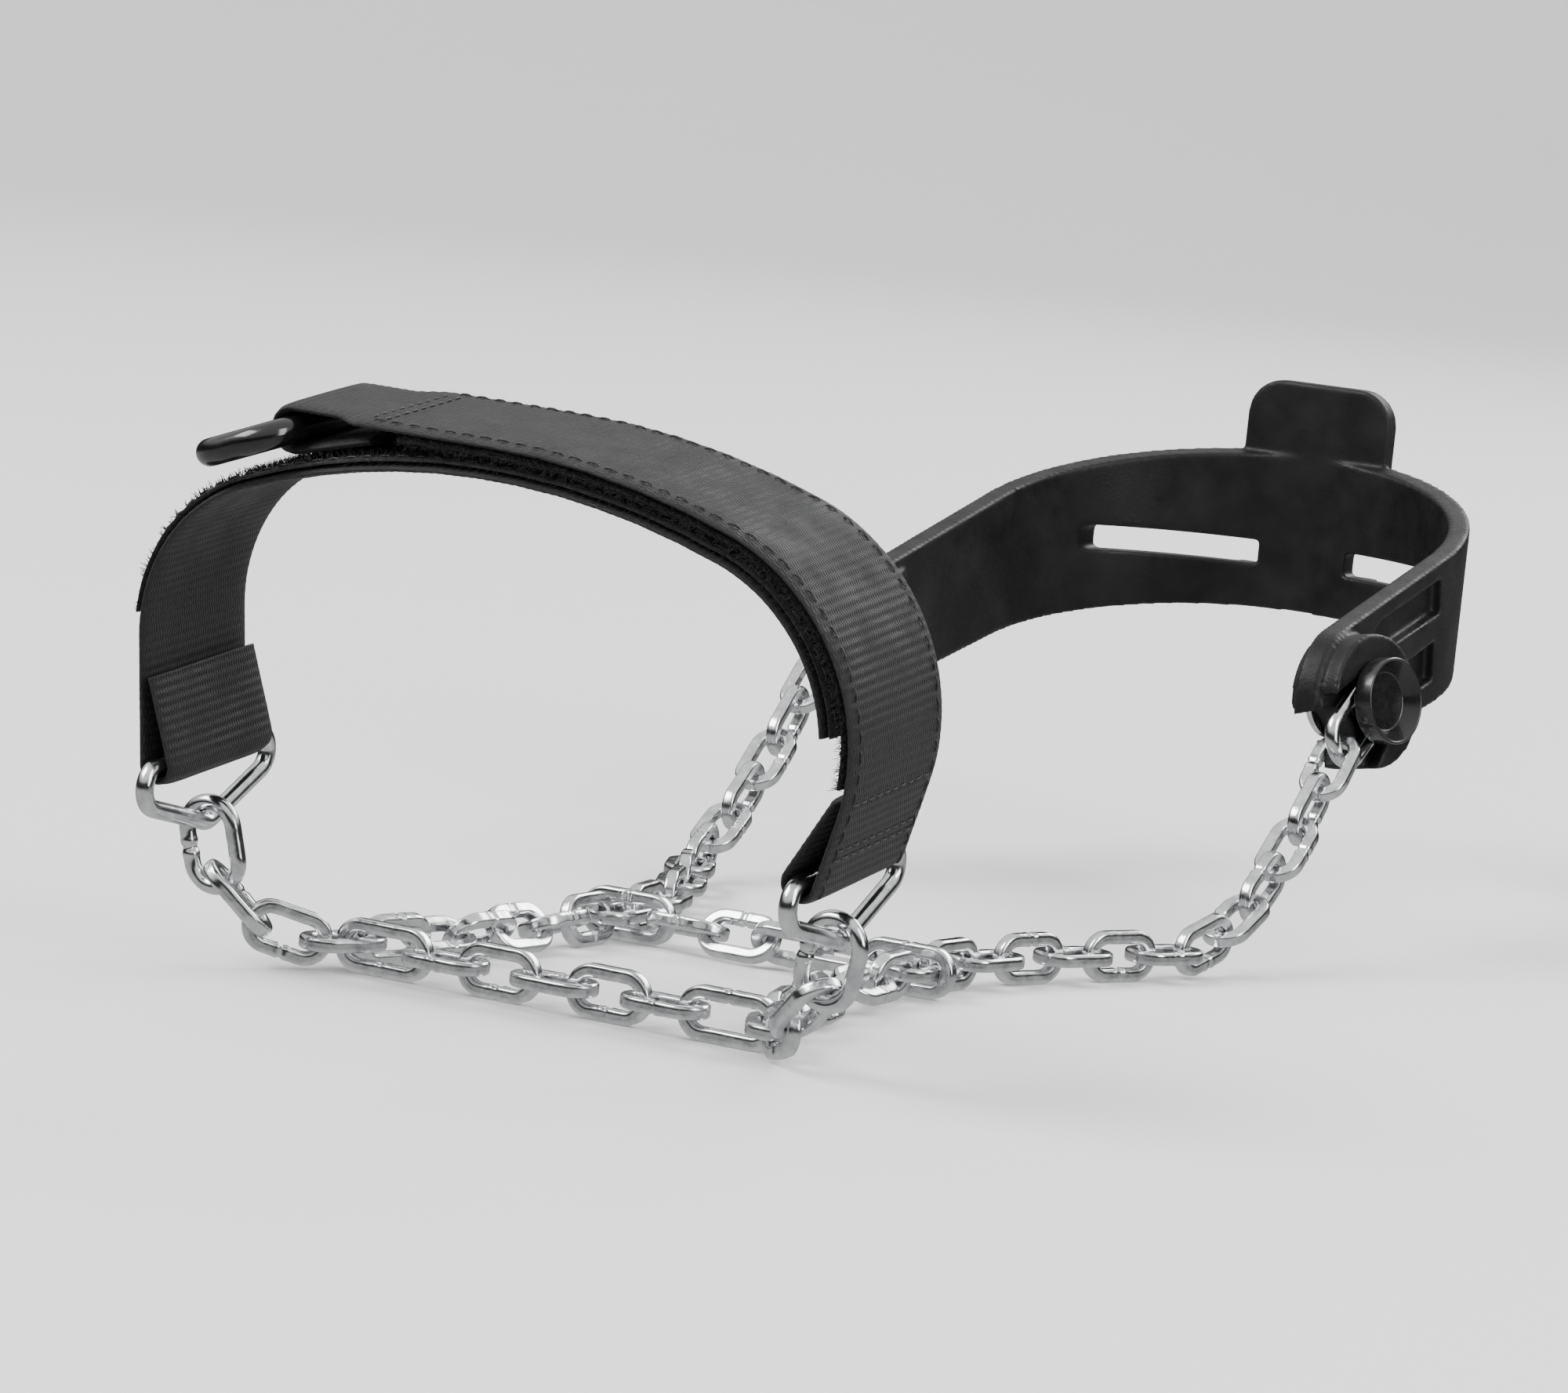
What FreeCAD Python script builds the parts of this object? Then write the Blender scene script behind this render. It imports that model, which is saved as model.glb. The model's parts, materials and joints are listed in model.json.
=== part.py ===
import FreeCAD, Part
import math
import os

import Sketcher

# A chain shoe ice cleat for one left shoe, in the shape it takes when it is worn.
# Frame: +Z up from the ground, the toe towards -Y, the outer (lateral) side towards +X.
# Every length is in millimetres and every angle in degrees.

SIZES = {
    # welded chain links of squared wire with rounded edges
    "link_wire": 1.95,
    "link_hole_length": 9.15,
    "link_side_gap": 1.75,
    "link_edge_round": 0.55,
    "link_play": 0.45,
    "long_link_hole_length": 11.65,
    # oblong connector between each side chain and its toe ring
    "connector_wire": 2.3,
    "connector_hole_length": 9.6,
    "connector_side_gap": 2.7,
    "connector_play": 1.3,
    # triangle rings that carry the toe strap
    "ring_wire": 2.5,
    "ring_side_gap": 1.0,
    "ring_rise": 7.6,
    "ring_corner": 3.0,
    "round_wire_share": 0.46,
    # toe strap: webbing, hook tape and pile, and the arch that they follow
    "strap_width": 25.0,
    "webbing": 1.4,
    "tape": 1.3,
    "pile": 1.0,
    "layer_gap": 0.1,
    "fastener_gap": 0.3,
    "arch_half_width": 54.5,
    "arch_height": 56.5,
    "shoulder_height": 25.5,
    "shoulder_bend": 26.0,
    "strap_lean": 8.0,
    "fold_tail": 12.0,
    "wrap_gap": 0.3,
    # finger ring at the free end of the outer strap
    "pull_wire": 3.8,
    "tongue_side_gap": 3.0,
    "pull_hole_width": 8.6,
    "pull_corner": 2.8,
    "tongue_width": 19.6,
    # end links that hang on the rivets of the heel sling
    "heel_link_wire": 2.4,
    "heel_link_hole_length": 13.5,
    "heel_link_side_gap": 0.7,
    "heel_link_dip": 40.0,
    "heel_link_gap": 0.45,
    # rubber heel sling
    "boss_round": 21.0,
    "boss_depth": 9.0,
    "boss_toe_in": 14.0,
    "boss_lean": 10.0,
    "hollow_depth": 3.0,
    "notch_round": 12.4,
    "sling_wall": 3.6,
    "sling_inset": 5.0,
    "sling_length": 79.0,
    "sling_top": 70.0,
    "rim_round": 18.0,
    "sling_bottom": 44.0,
    "hem_round": 14.0,
    "window_low": 50.5,
    "window_high": 54.5,
    "window_inner": 8.0,
    "window_outer": 33.0,
    "tab_width": 26.0,
    "tab_top": 82.0,
    "tab_corner": 6.0,
    # rivets
    "rivet_post": 4.6,
    "rivet_head": 13.5,
    "rivet_head_thick": 3.3,
    "rivet_rim": 2.05,
    "rivet_floor": 1.0,
    "rivet_back": 11.0,
    "rivet_back_thick": 1.0,
    "bore_gap": 0.1,
    # where the front cross chain lies, fore and aft
    "front_cross_y": -101.5,
}

FRONT_CROSS_LINKS = 7
REAR_CROSS_LINKS = 6
MID_LINKS = 6
FRONT_JUNCTION_HEADING = 26.0
MID_BEND_START = 24.0
REAR_HEADINGS = (8.0, 15.0, 21.0, 25.0, 26.0, 24.0)
RISER_HEADINGS = (12.0, 6.0, 3.0, 2.0, 1.0, 0.0)
RISER_SLOPES = (16.0, 27.0, 35.0, 40.0, 43.0, 44.0)
FRONT_HEADINGS = (44.0, 64.0)
FRONT_SLOPES = (16.0, 44.0)
CONNECTOR_LEAN = (0.22, -0.10, 1.0)

V = FreeCAD.Vector
UP = V(0, 0, 1)
SIDES = {"lateral": 1, "medial": -1}

doc = FreeCAD.newDocument("shoe_ice_cleat")
sheet = doc.addObject("Spreadsheet::Sheet", "sizes")
for row, (alias, value) in enumerate(SIZES.items(), start=1):
    sheet.set(f"A{row}", alias)
    sheet.set(f"B{row}", str(value))
    sheet.setAlias(f"B{row}", alias)
doc.recompute()


class Dim:
    """A length worked out from the sheet, with the expression that says how."""

    def __init__(self, value, text):
        self.value = float(value)
        self.text = text

    def joined(self, sign, other, value):
        text = other.text if isinstance(other, Dim) else str(other)
        return Dim(value, f"({self.text} {sign} {text})")

    def __float__(self):
        return self.value

    def __add__(self, other):
        return self.joined("+", other, self.value + float(other))

    def __sub__(self, other):
        return self.joined("-", other, self.value - float(other))

    def __mul__(self, other):
        return self.joined("*", other, self.value * float(other))

    def __truediv__(self, other):
        return self.joined("/", other, self.value / float(other))

    def __neg__(self):
        return Dim(-self.value, f"(-1 * {self.text})")


def size(alias):
    """The value of one cell of the sheet, bound to its alias."""
    return Dim(sheet.get(alias), f"sizes.{alias}")


def number(alias):
    """The plain value of one cell of the sheet."""
    return float(sheet.get(alias))


ZERO = Dim(0.0, "0")
link_hole_width = size("link_wire") + size("link_side_gap")
heel_link_hole_width = size("rivet_post") + size("heel_link_side_gap")


# ---------------------------------------------------------------- drawing helpers


def turned(angle):
    """The unit vector at an angle from a sketch's first axis."""
    return V(math.cos(math.radians(angle)), math.sin(math.radians(angle)), 0)


def belt_angles(circles):
    """Direction of each outer tangent of a belt that runs counter-clockwise round circles."""
    angles = []
    for index, (x1, y1, r1) in enumerate(circles):
        x2, y2, r2 = circles[(index + 1) % len(circles)]
        span = math.hypot(x2 - x1, y2 - y1)
        base = math.atan2(y2 - y1, x2 - x1)
        angles.append(math.degrees(base + math.asin((r1 - r2) / span)))
    return angles


def bind(sketch, kind, where, dim):
    """Add one dimension to a sketch and tie it to the sheet."""
    index = sketch.addConstraint(Sketcher.Constraint(kind, *where, dim.value))
    sketch.setExpression(f"Constraints[{index}]", dim.text)


def draw_belt(sketch, pulleys):
    """Draw a closed outline of arcs joined by tangent lines, and tie it to the sheet."""
    circles = [tuple(float(part) for part in pulley) for pulley in pulleys]
    angles = belt_angles(circles)
    arcs, lines = [], []
    for index, (x, y, radius) in enumerate(circles):
        first = math.radians(angles[index - 1] - 90)
        last = math.radians(angles[index] - 90)
        circle = Part.Circle(V(x, y, 0), UP, radius)
        arcs.append(sketch.addGeometry(Part.ArcOfCircle(circle, first, last)))
    for index, (x, y, radius) in enumerate(circles):
        x2, y2, radius2 = circles[(index + 1) % len(circles)]
        out = turned(angles[index] - 90)
        start, end = V(x, y, 0) + out * radius, V(x2, y2, 0) + out * radius2
        lines.append(sketch.addGeometry(Part.LineSegment(start, end)))
    for index, line in enumerate(lines):
        after = arcs[(index + 1) % len(arcs)]
        sketch.addConstraint(Sketcher.Constraint("Tangent", arcs[index], 2, line, 1))
        sketch.addConstraint(Sketcher.Constraint("Tangent", line, 2, after, 1))
    for arc, (x, y, radius) in zip(arcs, pulleys):
        for kind, axis, dim in (("DistanceX", -2, x), ("DistanceY", -1, y)):
            if dim.value == 0:
                sketch.addConstraint(Sketcher.Constraint("PointOnObject", arc, 3, axis))
            else:
                bind(sketch, kind, (-1, 1, arc, 3), dim)
        bind(sketch, "Radius", (arc,), radius)


def draw_circle(sketch, x, y, radius):
    """Draw a circle whose centre and radius are tied to the sheet."""
    circle = sketch.addGeometry(Part.Circle(V(x.value, y.value, 0), UP, radius.value))
    for kind, axis, dim in (("DistanceX", -2, x), ("DistanceY", -1, y)):
        if dim.value == 0:
            sketch.addConstraint(Sketcher.Constraint("PointOnObject", circle, 3, axis))
        else:
            bind(sketch, kind, (-1, 1, circle, 3), dim)
    bind(sketch, "Radius", (circle,), radius)


def draw_polygon(sketch, corners):
    """Draw a closed outline of straight lines through corners tied to the sheet."""
    points = [V(float(x), float(y), 0) for x, y in corners]
    lines = [
        sketch.addGeometry(Part.LineSegment(a, b))
        for a, b in zip(points, points[1:] + points[:1])
    ]
    for index, line in enumerate(lines):
        after = lines[(index + 1) % len(lines)]
        sketch.addConstraint(Sketcher.Constraint("Coincident", line, 2, after, 1))
    for line, (x, y) in zip(lines, corners):
        for kind, axis, dim in (("DistanceX", -2, x), ("DistanceY", -1, y)):
            if dim.value == 0:
                sketch.addConstraint(Sketcher.Constraint("PointOnObject", line, 1, axis))
            else:
                bind(sketch, kind, (-1, 1, line, 1), dim)


def new_body(label):
    body = doc.addObject("PartDesign::Body", label)
    body.Label = label
    return body


def new_sketch(body, name, role, offset=None):
    """A sketch on one of the body's own origin planes, moved by offset."""
    plane = next(f for f in body.Origin.OriginFeatures if f.Role == role)
    sketch = body.newObject("Sketcher::SketchObject", f"{body.Name}_{name}")
    sketch.AttachmentSupport = [(plane, "")]
    sketch.MapMode = "FlatFace"
    if offset is not None:
        sketch.AttachmentOffset = offset
    return sketch


def extrude(body, kind, name, sketch, length=None, middle=False, backwards=False):
    """A Pad or Pocket of a sketch; a Pocket with no length goes through everything."""
    feature = body.newObject(f"PartDesign::{kind}", f"{body.Name}_{name}")
    feature.Profile = sketch
    feature.Midplane = middle
    feature.Reversed = backwards
    if length is None:
        feature.Type = "ThroughAll"
    else:
        feature.setExpression("Length", length.text)
    doc.recompute()
    return feature


def round_all(body, base, radius):
    """Round every edge of a feature."""
    fillet = body.newObject("PartDesign::Fillet", f"{body.Name}_round")
    fillet.Base = (base, ["Edge1"])
    fillet.UseAllEdges = True
    fillet.setExpression("Radius", radius.text)
    doc.recompute()
    return fillet


def wire_loop(label, pulleys, wire, rounding):
    """A closed loop of wire whose middle line runs round pulleys in the body's own XY."""
    body = new_body(label)
    sketch = new_sketch(body, "outline", "XY_Plane")
    for shift in (wire / 2, -(wire / 2)):
        draw_belt(sketch, [(x, y, radius + shift) for x, y, radius in pulleys])
    round_all(body, extrude(body, "Pad", "wire", sketch, wire, middle=True), rounding)
    return body


def oblong(label, wire, hole_length, hole_width, rounding):
    """An oblong link, long along its own X."""
    reach = (hole_length - hole_width) / 2
    bend = (hole_width + wire) / 2
    return wire_loop(label, [(reach, ZERO, bend), (-reach, ZERO, bend)], wire, rounding)


def chain_link(label, long=False):
    hole = size("long_link_hole_length" if long else "link_hole_length")
    edge = size("link_edge_round")
    return oblong(label, size("link_wire"), hole, link_hole_width, edge)


def framed(centre, along, across):
    """The placement that lays a body's X along one direction and its Y across it."""
    out = along.cross(across)
    return FreeCAD.Placement(centre, FreeCAD.Rotation(along, across, out, "XYZ"))


def flipped(point, side):
    """A point or direction of the lateral side, moved to the side asked for."""
    return V(point.x * SIDES[side], point.y, point.z)


# ---------------------------------------------------------------- chain layout

PITCH = number("link_hole_length") - number("link_play")
LONG_PITCH = number("long_link_hole_length") - number("link_play")
CHAIN_Z = number("link_wire") + link_hole_width.value / 2
LINK_HALF_WIDTH = CHAIN_Z


def direction(heading, slope=0.0, forward=False):
    """Unit direction of a side run on the lateral side; heading is outward from fore-aft."""
    flat = math.cos(math.radians(slope))
    ahead = -1 if forward else 1
    return V(
        math.sin(math.radians(heading)) * flat,
        math.cos(math.radians(heading)) * flat * ahead,
        math.sin(math.radians(slope)),
    )


def across_at(along, roll):
    """The width direction of a link that is turned by roll from lying flat."""
    level = UP.cross(along)
    level.normalize()
    lift = along.cross(level)
    turn = math.radians(roll)
    return level * math.cos(turn) + lift * math.sin(turn)


def walk(start, directions):
    """The middles of links laid one after another from a vertex, and the last vertex."""
    middles = []
    for along in directions:
        middles.append(start + along * (PITCH / 2))
        start = start + along * PITCH
    return middles, start


# The cross chains are straight, so they set how far apart the junction links lie.
end_link_reach = (
    2 * LONG_PITCH + (FRONT_CROSS_LINKS - 2) * PITCH + number("link_play")
) / 2
front_junction = V(end_link_reach + 1.0, number("front_cross_y"), CHAIN_Z)
rear_reach = (2 * LONG_PITCH + (REAR_CROSS_LINKS - 2) * PITCH + number("link_play")) / 2
rear_junction_x = rear_reach - number("link_play") / 2 - LINK_HALF_WIDTH


def mid_directions(bend):
    """Directions of the links between the junctions, straightening as they go back."""
    share = [1 - (k + 0.5) / MID_LINKS for k in range(MID_LINKS)]
    return [direction(-bend * part) for part in share]


def mid_drift(bend):
    """How far inward the run between the junctions ends for a given first bend."""
    start = direction(-FRONT_JUNCTION_HEADING) * (PITCH / 2)
    return start.x + sum(along.x for along in mid_directions(bend)) * PITCH


low_bend, high_bend = 0.0, 3 * MID_BEND_START
for _ in range(50):
    mid_bend = (low_bend + high_bend) / 2
    if front_junction.x + mid_drift(mid_bend) > rear_junction_x:
        low_bend = mid_bend
    else:
        high_bend = mid_bend

mid_start = front_junction + direction(-FRONT_JUNCTION_HEADING) * (PITCH / 2)
mid_middles, mid_end = walk(mid_start, mid_directions(mid_bend))
rear_junction = mid_end + V(0, PITCH / 2, 0)

rear_directions = [direction(heading) for heading in REAR_HEADINGS]
rear_middles, riser_foot = walk(rear_junction + V(0, PITCH / 2, 0), rear_directions)
riser_directions = [direction(h, s) for h, s in zip(RISER_HEADINGS, RISER_SLOPES)]
riser_middles, riser_top = walk(riser_foot, riser_directions)

front_start = front_junction + direction(FRONT_JUNCTION_HEADING, 0, True) * (PITCH / 2)
front_directions = [direction(h, s, True) for h, s in zip(FRONT_HEADINGS, FRONT_SLOPES)]
front_middles, connector_foot = walk(front_start, front_directions)

connector_up = V(*CONNECTOR_LEAN)
connector_up.normalize()
connector_hole = number("connector_hole_length")
connector_grip = (connector_hole - number("connector_play")) / 2
connector_middle = connector_foot + connector_up * connector_grip
# The rings swing about the bend of wire at the top of each connector.
ring_axis = connector_middle + connector_up * (
    (connector_hole + number("connector_wire")) / 2
)


# ---------------------------------------------------------------- chain pieces

parts = []


def lay(label, middle, along, roll, side="lateral", long=False):
    """Make one link where it lies."""
    link = chain_link(label, long)
    across = flipped(across_at(along, roll), side)
    link.Placement = framed(flipped(middle, side), flipped(along, side), across)
    return link


def group(label, members):
    """Several solids that are one node."""
    holder = doc.addObject("Part::Compound", label)
    holder.Label = label
    holder.Links = members
    parts.append(holder)


def cross_chain(name, y, count, roll_step):
    """A straight cross chain between two junctions, turning evenly along its length."""
    lengths = [LONG_PITCH] + [PITCH] * (count - 2) + [LONG_PITCH]
    at = -sum(lengths) / 2
    for index, length in enumerate(lengths):
        middle = V(at + length / 2, y, CHAIN_Z)
        long = index in (0, count - 1)
        roll = 90 + index * roll_step
        parts.append(lay(f"{name}_link_{index + 1}", middle, V(1, 0, 0), roll, long=long))
        at += length


cross_chain("front_cross", front_junction.y, FRONT_CROSS_LINKS, 90.0)
cross_chain("rear_cross", rear_junction.y, REAR_CROSS_LINKS, 360.0 / (REAR_CROSS_LINKS - 1))

MID_ROLL_STEP = 540.0 / (MID_LINKS + 1)
for side in SIDES:
    turn = direction(-FRONT_JUNCTION_HEADING)
    parts.append(lay(f"front_junction_link_{side}", front_junction, turn, 0, side))
    parts.append(lay(f"rear_junction_link_{side}", rear_junction, V(0, 1, 0), 0, side))
    for index, (middle, along) in enumerate(zip(mid_middles, mid_directions(mid_bend))):
        roll = MID_ROLL_STEP * (index + 1)
        parts.append(lay(f"side_link_{side}_{index + 1}", middle, along, roll, side))
    runs = (
        ("front_links", front_middles, front_directions, 1),
        ("rear_links", rear_middles, rear_directions, 1),
        ("riser_links", riser_middles, riser_directions, 1 + len(REAR_HEADINGS)),
    )
    for name, middles, directions, first in runs:
        links = [
            lay(f"{name}_{side}_{k + 1}", middle, along, 90 * (first + k), side)
            for k, (middle, along) in enumerate(zip(middles, directions))
        ]
        group(f"{name}_{side}", links)
    connector = oblong(
        f"connector_{side}",
        size("connector_wire"),
        size("connector_hole_length"),
        size("ring_wire") + size("connector_side_gap"),
        size("connector_wire") * size("round_wire_share"),
    )
    sideways = connector_up.cross(V(0, -1, 0))
    sideways.normalize()
    connector.Placement = framed(
        flipped(connector_middle, side), flipped(connector_up, side), flipped(sideways, side)
    )
    parts.append(connector)


# ---------------------------------------------------------------- toe strap

# Toe strap pieces are drawn upright and leaned forward together about the ring axis.
lean = FreeCAD.Rotation(V(1, 0, 0), number("strap_lean"))
strap_origin = V(0, ring_axis.y, ring_axis.z)
strap_place = FreeCAD.Placement(strap_origin, lean)

bar_x = ring_axis.x
bar_up = number("ring_rise")


def triangle_ring(side):
    """A ring with its bar on top and its point down, bent from round wire."""
    wire = size("ring_wire")
    bend = size("connector_wire") / 2 + wire / 2 + size("wrap_gap")
    corner = size("ring_corner")
    reach = (size("strap_width") + size("ring_side_gap") * 2 + wire) / 2 - corner
    height = size("ring_rise") - corner
    pulleys = [(ZERO, ZERO, bend), (reach, height, corner), (-reach, height, corner)]
    ring = wire_loop(f"triangle_ring_{side}", pulleys, wire, wire * size("round_wire_share"))
    local = framed(V(bar_x * SIDES[side], 0, 0), V(0, 1, 0), UP)
    ring.Placement = strap_place.multiply(local)
    return ring


wrap_radius = number("ring_wire") / 2 + number("wrap_gap")
outer_in = number("fastener_gap") / 2 + number("pile") + number("layer_gap")
outer_out = outer_in + number("webbing")
inner_out = -number("fastener_gap") / 2 - number("tape") - number("layer_gap")
inner_in = inner_out - number("webbing")

shoulder = V(number("arch_half_width") - number("shoulder_bend"), number("shoulder_height"), 0)
crown_rise = number("arch_height") - number("shoulder_height")
bend = number("shoulder_bend")
crown_radius = (shoulder.x**2 + crown_rise**2 - bend**2) / (2 * (crown_rise - bend))
crown_centre = V(0, number("arch_height") - crown_radius, 0)
crown_turn = math.degrees(math.asin(shoulder.x / (crown_radius - bend)))


def strap_path(fold_radius, to_angle):
    """Arcs (centre, radius, first and last angle) of the arch line from one ring's bar.

    The line starts on the inner side of the bar, goes round under it, up the leg and over
    the shoulder to to_angle on the crown or on the far shoulder. Straight runs join the arcs.
    """
    bar = V(bar_x, bar_up, 0)
    span = shoulder - bar
    base = math.degrees(math.atan2(span.y, span.x))
    leg = base + math.degrees(math.asin((fold_radius - bend) / span.Length))
    closing = math.degrees(math.asin(0.25))
    arcs = [(bar, fold_radius, leg - 270 - closing, leg - 90)]
    arcs.append((shoulder, bend, leg - 90, 90 - crown_turn))
    if to_angle <= 90 + crown_turn:
        arcs.append((crown_centre, crown_radius, 90 - crown_turn, to_angle))
    else:
        far = V(-shoulder.x, shoulder.y, 0)
        arcs.append((crown_centre, crown_radius, 90 - crown_turn, 90 + crown_turn))
        arcs.append((far, bend, 90 + crown_turn, to_angle))
    return arcs


def band_edges(arcs, low, high, tail=0.0, run_out=0.0):
    """The closed outline between two offsets of a path, as curves for a sketch."""
    sides = []
    for offset in (low, high):
        curves = []
        ends = []
        for centre, radius, first, last in arcs:
            circle = Part.Circle(centre, UP, radius + offset)
            curves.append(Part.ArcOfCircle(circle, math.radians(first), math.radians(last)))
            ends.append((centre + turned(first) * (radius + offset),
                         centre + turned(last) * (radius + offset)))
        joins = [(a[1], b[0]) for a, b in zip(ends, ends[1:])]
        start, finish = ends[0][0], ends[-1][1]
        if tail:
            back = start - turned(arcs[0][2] + 90) * tail
            joins.append((back, start))
            start = back
        if run_out:
            ahead = finish + turned(arcs[-1][3] + 90) * run_out
            joins.append((finish, ahead))
            finish = ahead
        curves += [Part.LineSegment(a, b) for a, b in joins if a.distanceToPoint(b) > 1e-6]
        sides.append((curves, start, finish))
    (inside, a1, b1), (outside, a2, b2) = sides
    return inside + outside + [Part.LineSegment(a1, a2), Part.LineSegment(b1, b2)]


def band(label, curves, width, mirror=False):
    """A strap layer: an outline in the arch's plane, as wide as the strap."""
    body = new_body(label)
    sketch = new_sketch(body, "outline", "XZ_Plane")
    for curve in curves:
        if mirror:
            curve.mirror(V(0, 0, 0), V(0, 1, 0))
        sketch.addConstraint(Sketcher.Constraint("Block", sketch.addGeometry(curve)))
    extrude(body, "Pad", "width", sketch, width, middle=True)
    body.Placement = strap_place
    parts.append(body)
    return body


width = size("strap_width")
outer_fold = wrap_radius - outer_in
inner_fold = wrap_radius - inner_in
leave_angle = 89.0
pull_wrap = number("pull_wire") / 2 + number("wrap_gap")
free_run = 32.0
sewn_angle = math.degrees(math.asin(0.25))


# The free end leaves the crown in a straight run and turns back under the finger ring.
out = turned(leave_angle)
run_start = crown_centre + out * crown_radius
pull_axis = run_start + turned(leave_angle + 90) * free_run - out * (pull_wrap - outer_in)
free_fold = (pull_axis, pull_wrap - outer_in, leave_angle, leave_angle + 180 + sewn_angle)

outer_arcs = strap_path(outer_fold, leave_angle) + [free_fold]
tail = number("fold_tail")
outer = band("outer_strap", band_edges(outer_arcs, outer_in, outer_out, tail, tail), width)

# The free end narrows to a tongue that fits inside the finger ring.
tongue = new_sketch(outer, "tongue", "XY_Plane")
tongue_start = Dim(pull_axis.x, f"{pull_axis.x:.4f}") + size("pull_hole_width")
tongue_side = size("tongue_width") / 2
beyond = size("strap_width")
for sign in (1, -1):
    near, far = tongue_side * sign, beyond * sign
    far_end = tongue_start - size("strap_width")
    corners = [(tongue_start, near), (tongue_start, far), (far_end, far), (far_end, near)]
    draw_polygon(tongue, corners)
extrude(outer, "Pocket", "tongue_cut", tongue, middle=True)

# Pile on the inner face of the outer strap, above the turned-up tail.
pile_arcs = strap_path(outer_fold, leave_angle)[1:]
centre, radius, first, last = pile_arcs[0]
pile_arcs[0] = (centre, radius, first + 8.0, last)
pile_low = number("fastener_gap") / 2
pile_high = pile_low + number("pile")
pile_run = free_run - tail - 6.0
pile_edges = band_edges(pile_arcs, pile_low, pile_high, 0, pile_run)
band("strap_pile_lining", pile_edges, width - 1.5)

# The inner strap hangs on the medial ring and carries the hook tape on its outer face.
inner_end = 176.0
inner_arcs = strap_path(inner_fold, inner_end)
band("inner_strap", band_edges(inner_arcs, inner_in, inner_out, tail), width, mirror=True)
tape_arcs = inner_arcs[1:]
centre, radius, first, last = tape_arcs[0]
tape_arcs[0] = (centre, radius, first + 8.0, last)
tape_high = -number("fastener_gap") / 2
tape_edges = band_edges(tape_arcs, tape_high - number("tape"), tape_high)
band("strap_hook_tape", tape_edges, width - 1.0, mirror=True)

for side in SIDES:
    parts.append(triangle_ring(side))

pull_droop = 200.0
pull_bend = size("pull_corner") + size("pull_wire") / 2
pull_x = (size("tongue_width") + size("tongue_side_gap") * 2 + size("pull_wire")) / 2 - pull_bend
pull_y = (size("pull_hole_width") + size("pull_wire")) / 2 - pull_bend
pull_ring = wire_loop(
    "finger_ring",
    [(x, y, pull_bend) for x, y in
     ((pull_x, pull_y), (-pull_x, pull_y), (-pull_x, -pull_y), (pull_x, -pull_y))],
    size("pull_wire"),
    size("pull_wire") * size("round_wire_share"),
)
droop = V(turned(pull_droop).x, 0, turned(pull_droop).y)
pull_middle = V(pull_axis.x, 0, pull_axis.y) + droop * (
    (number("pull_hole_width") + number("pull_wire")) / 2
)
pull_ring.Placement = strap_place.multiply(framed(pull_middle, V(0, 1, 0), droop))
parts.append(pull_ring)


# ---------------------------------------------------------------- heel links and sling

toe_in = math.radians(number("boss_toe_in"))
boss_lean = math.radians(number("boss_lean"))
rivet_out = V(
    math.cos(toe_in) * math.cos(boss_lean),
    -math.sin(toe_in) * math.cos(boss_lean),
    math.sin(boss_lean),
)
rivet_back = V(math.sin(toe_in), math.cos(toe_in), 0)
rivet_up = rivet_out.cross(rivet_back)
dip = math.radians(number("heel_link_dip"))
link_reach = (
    number("heel_link_hole_length")
    - heel_link_hole_width.value / 2
    - number("link_play") / 2
)
link_along = rivet_back * -math.cos(dip) + rivet_up * -math.sin(dip)
# The middle of each heel link's plane on the rivet's own axis.
rivet_point = riser_top - link_along * link_reach

for side in SIDES:
    heel_link = oblong(
        f"heel_link_{side}",
        size("heel_link_wire"),
        size("heel_link_hole_length"),
        heel_link_hole_width,
        size("heel_link_wire") * size("round_wire_share"),
    )
    half = (number("heel_link_hole_length") - heel_link_hole_width.value) / 2
    middle = rivet_point + link_along * half
    across = rivet_out.cross(link_along)
    heel_link.Placement = framed(
        flipped(middle, side), flipped(link_along, side), flipped(across, side)
    )
    parts.append(heel_link)

hollow_floor = -(size("heel_link_wire") / 2 + size("heel_link_gap"))
boss_face = hollow_floor + size("hollow_depth")
head_seat = size("heel_link_wire") / 2 + size("heel_link_gap")
washer_seat = boss_face - size("boss_depth")


def on_rivet(height):
    """The frame across a rivet at a height along it, for the lateral side."""
    turn = FreeCAD.Rotation(rivet_back, rivet_up, rivet_out, "XYZ")
    return FreeCAD.Placement(rivet_point + rivet_out * float(height), turn)


def across_rivet(body, name, height):
    """A sketch across the lateral rivet, in the body's side plane moved there."""
    plane = FreeCAD.Rotation(V(0, 1, 0), V(0, 0, 1), V(1, 0, 0), "XYZ")
    home = FreeCAD.Placement(V(0, 0, 0), plane)
    offset = home.inverse().multiply(on_rivet(height))
    return new_sketch(body, name, "YZ_Plane", offset)


def placed(value):
    """A place that follows from the chain, as a plain number in an expression."""
    return Dim(value, f"{value:.5f}")


sling = new_body("heel_sling")
sling_half = placed(rivet_point.x) - size("sling_inset")
heel_y = placed(rivet_point.y) + size("sling_length") - sling_half
cut_y = placed(rivet_point.y) - size("boss_round") * 1.5
loop = new_sketch(sling, "plan", "XY_Plane")
front_bend = size("hem_round") / 2
for wall in (ZERO, size("sling_wall")):
    half = sling_half - wall
    corner_x = half - front_bend
    draw_belt(loop, [
        (ZERO, heel_y, half), (-corner_x, cut_y, front_bend), (corner_x, cut_y, front_bend)
    ])
walls = extrude(sling, "Pad", "walls", loop, size("tab_top"))

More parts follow.
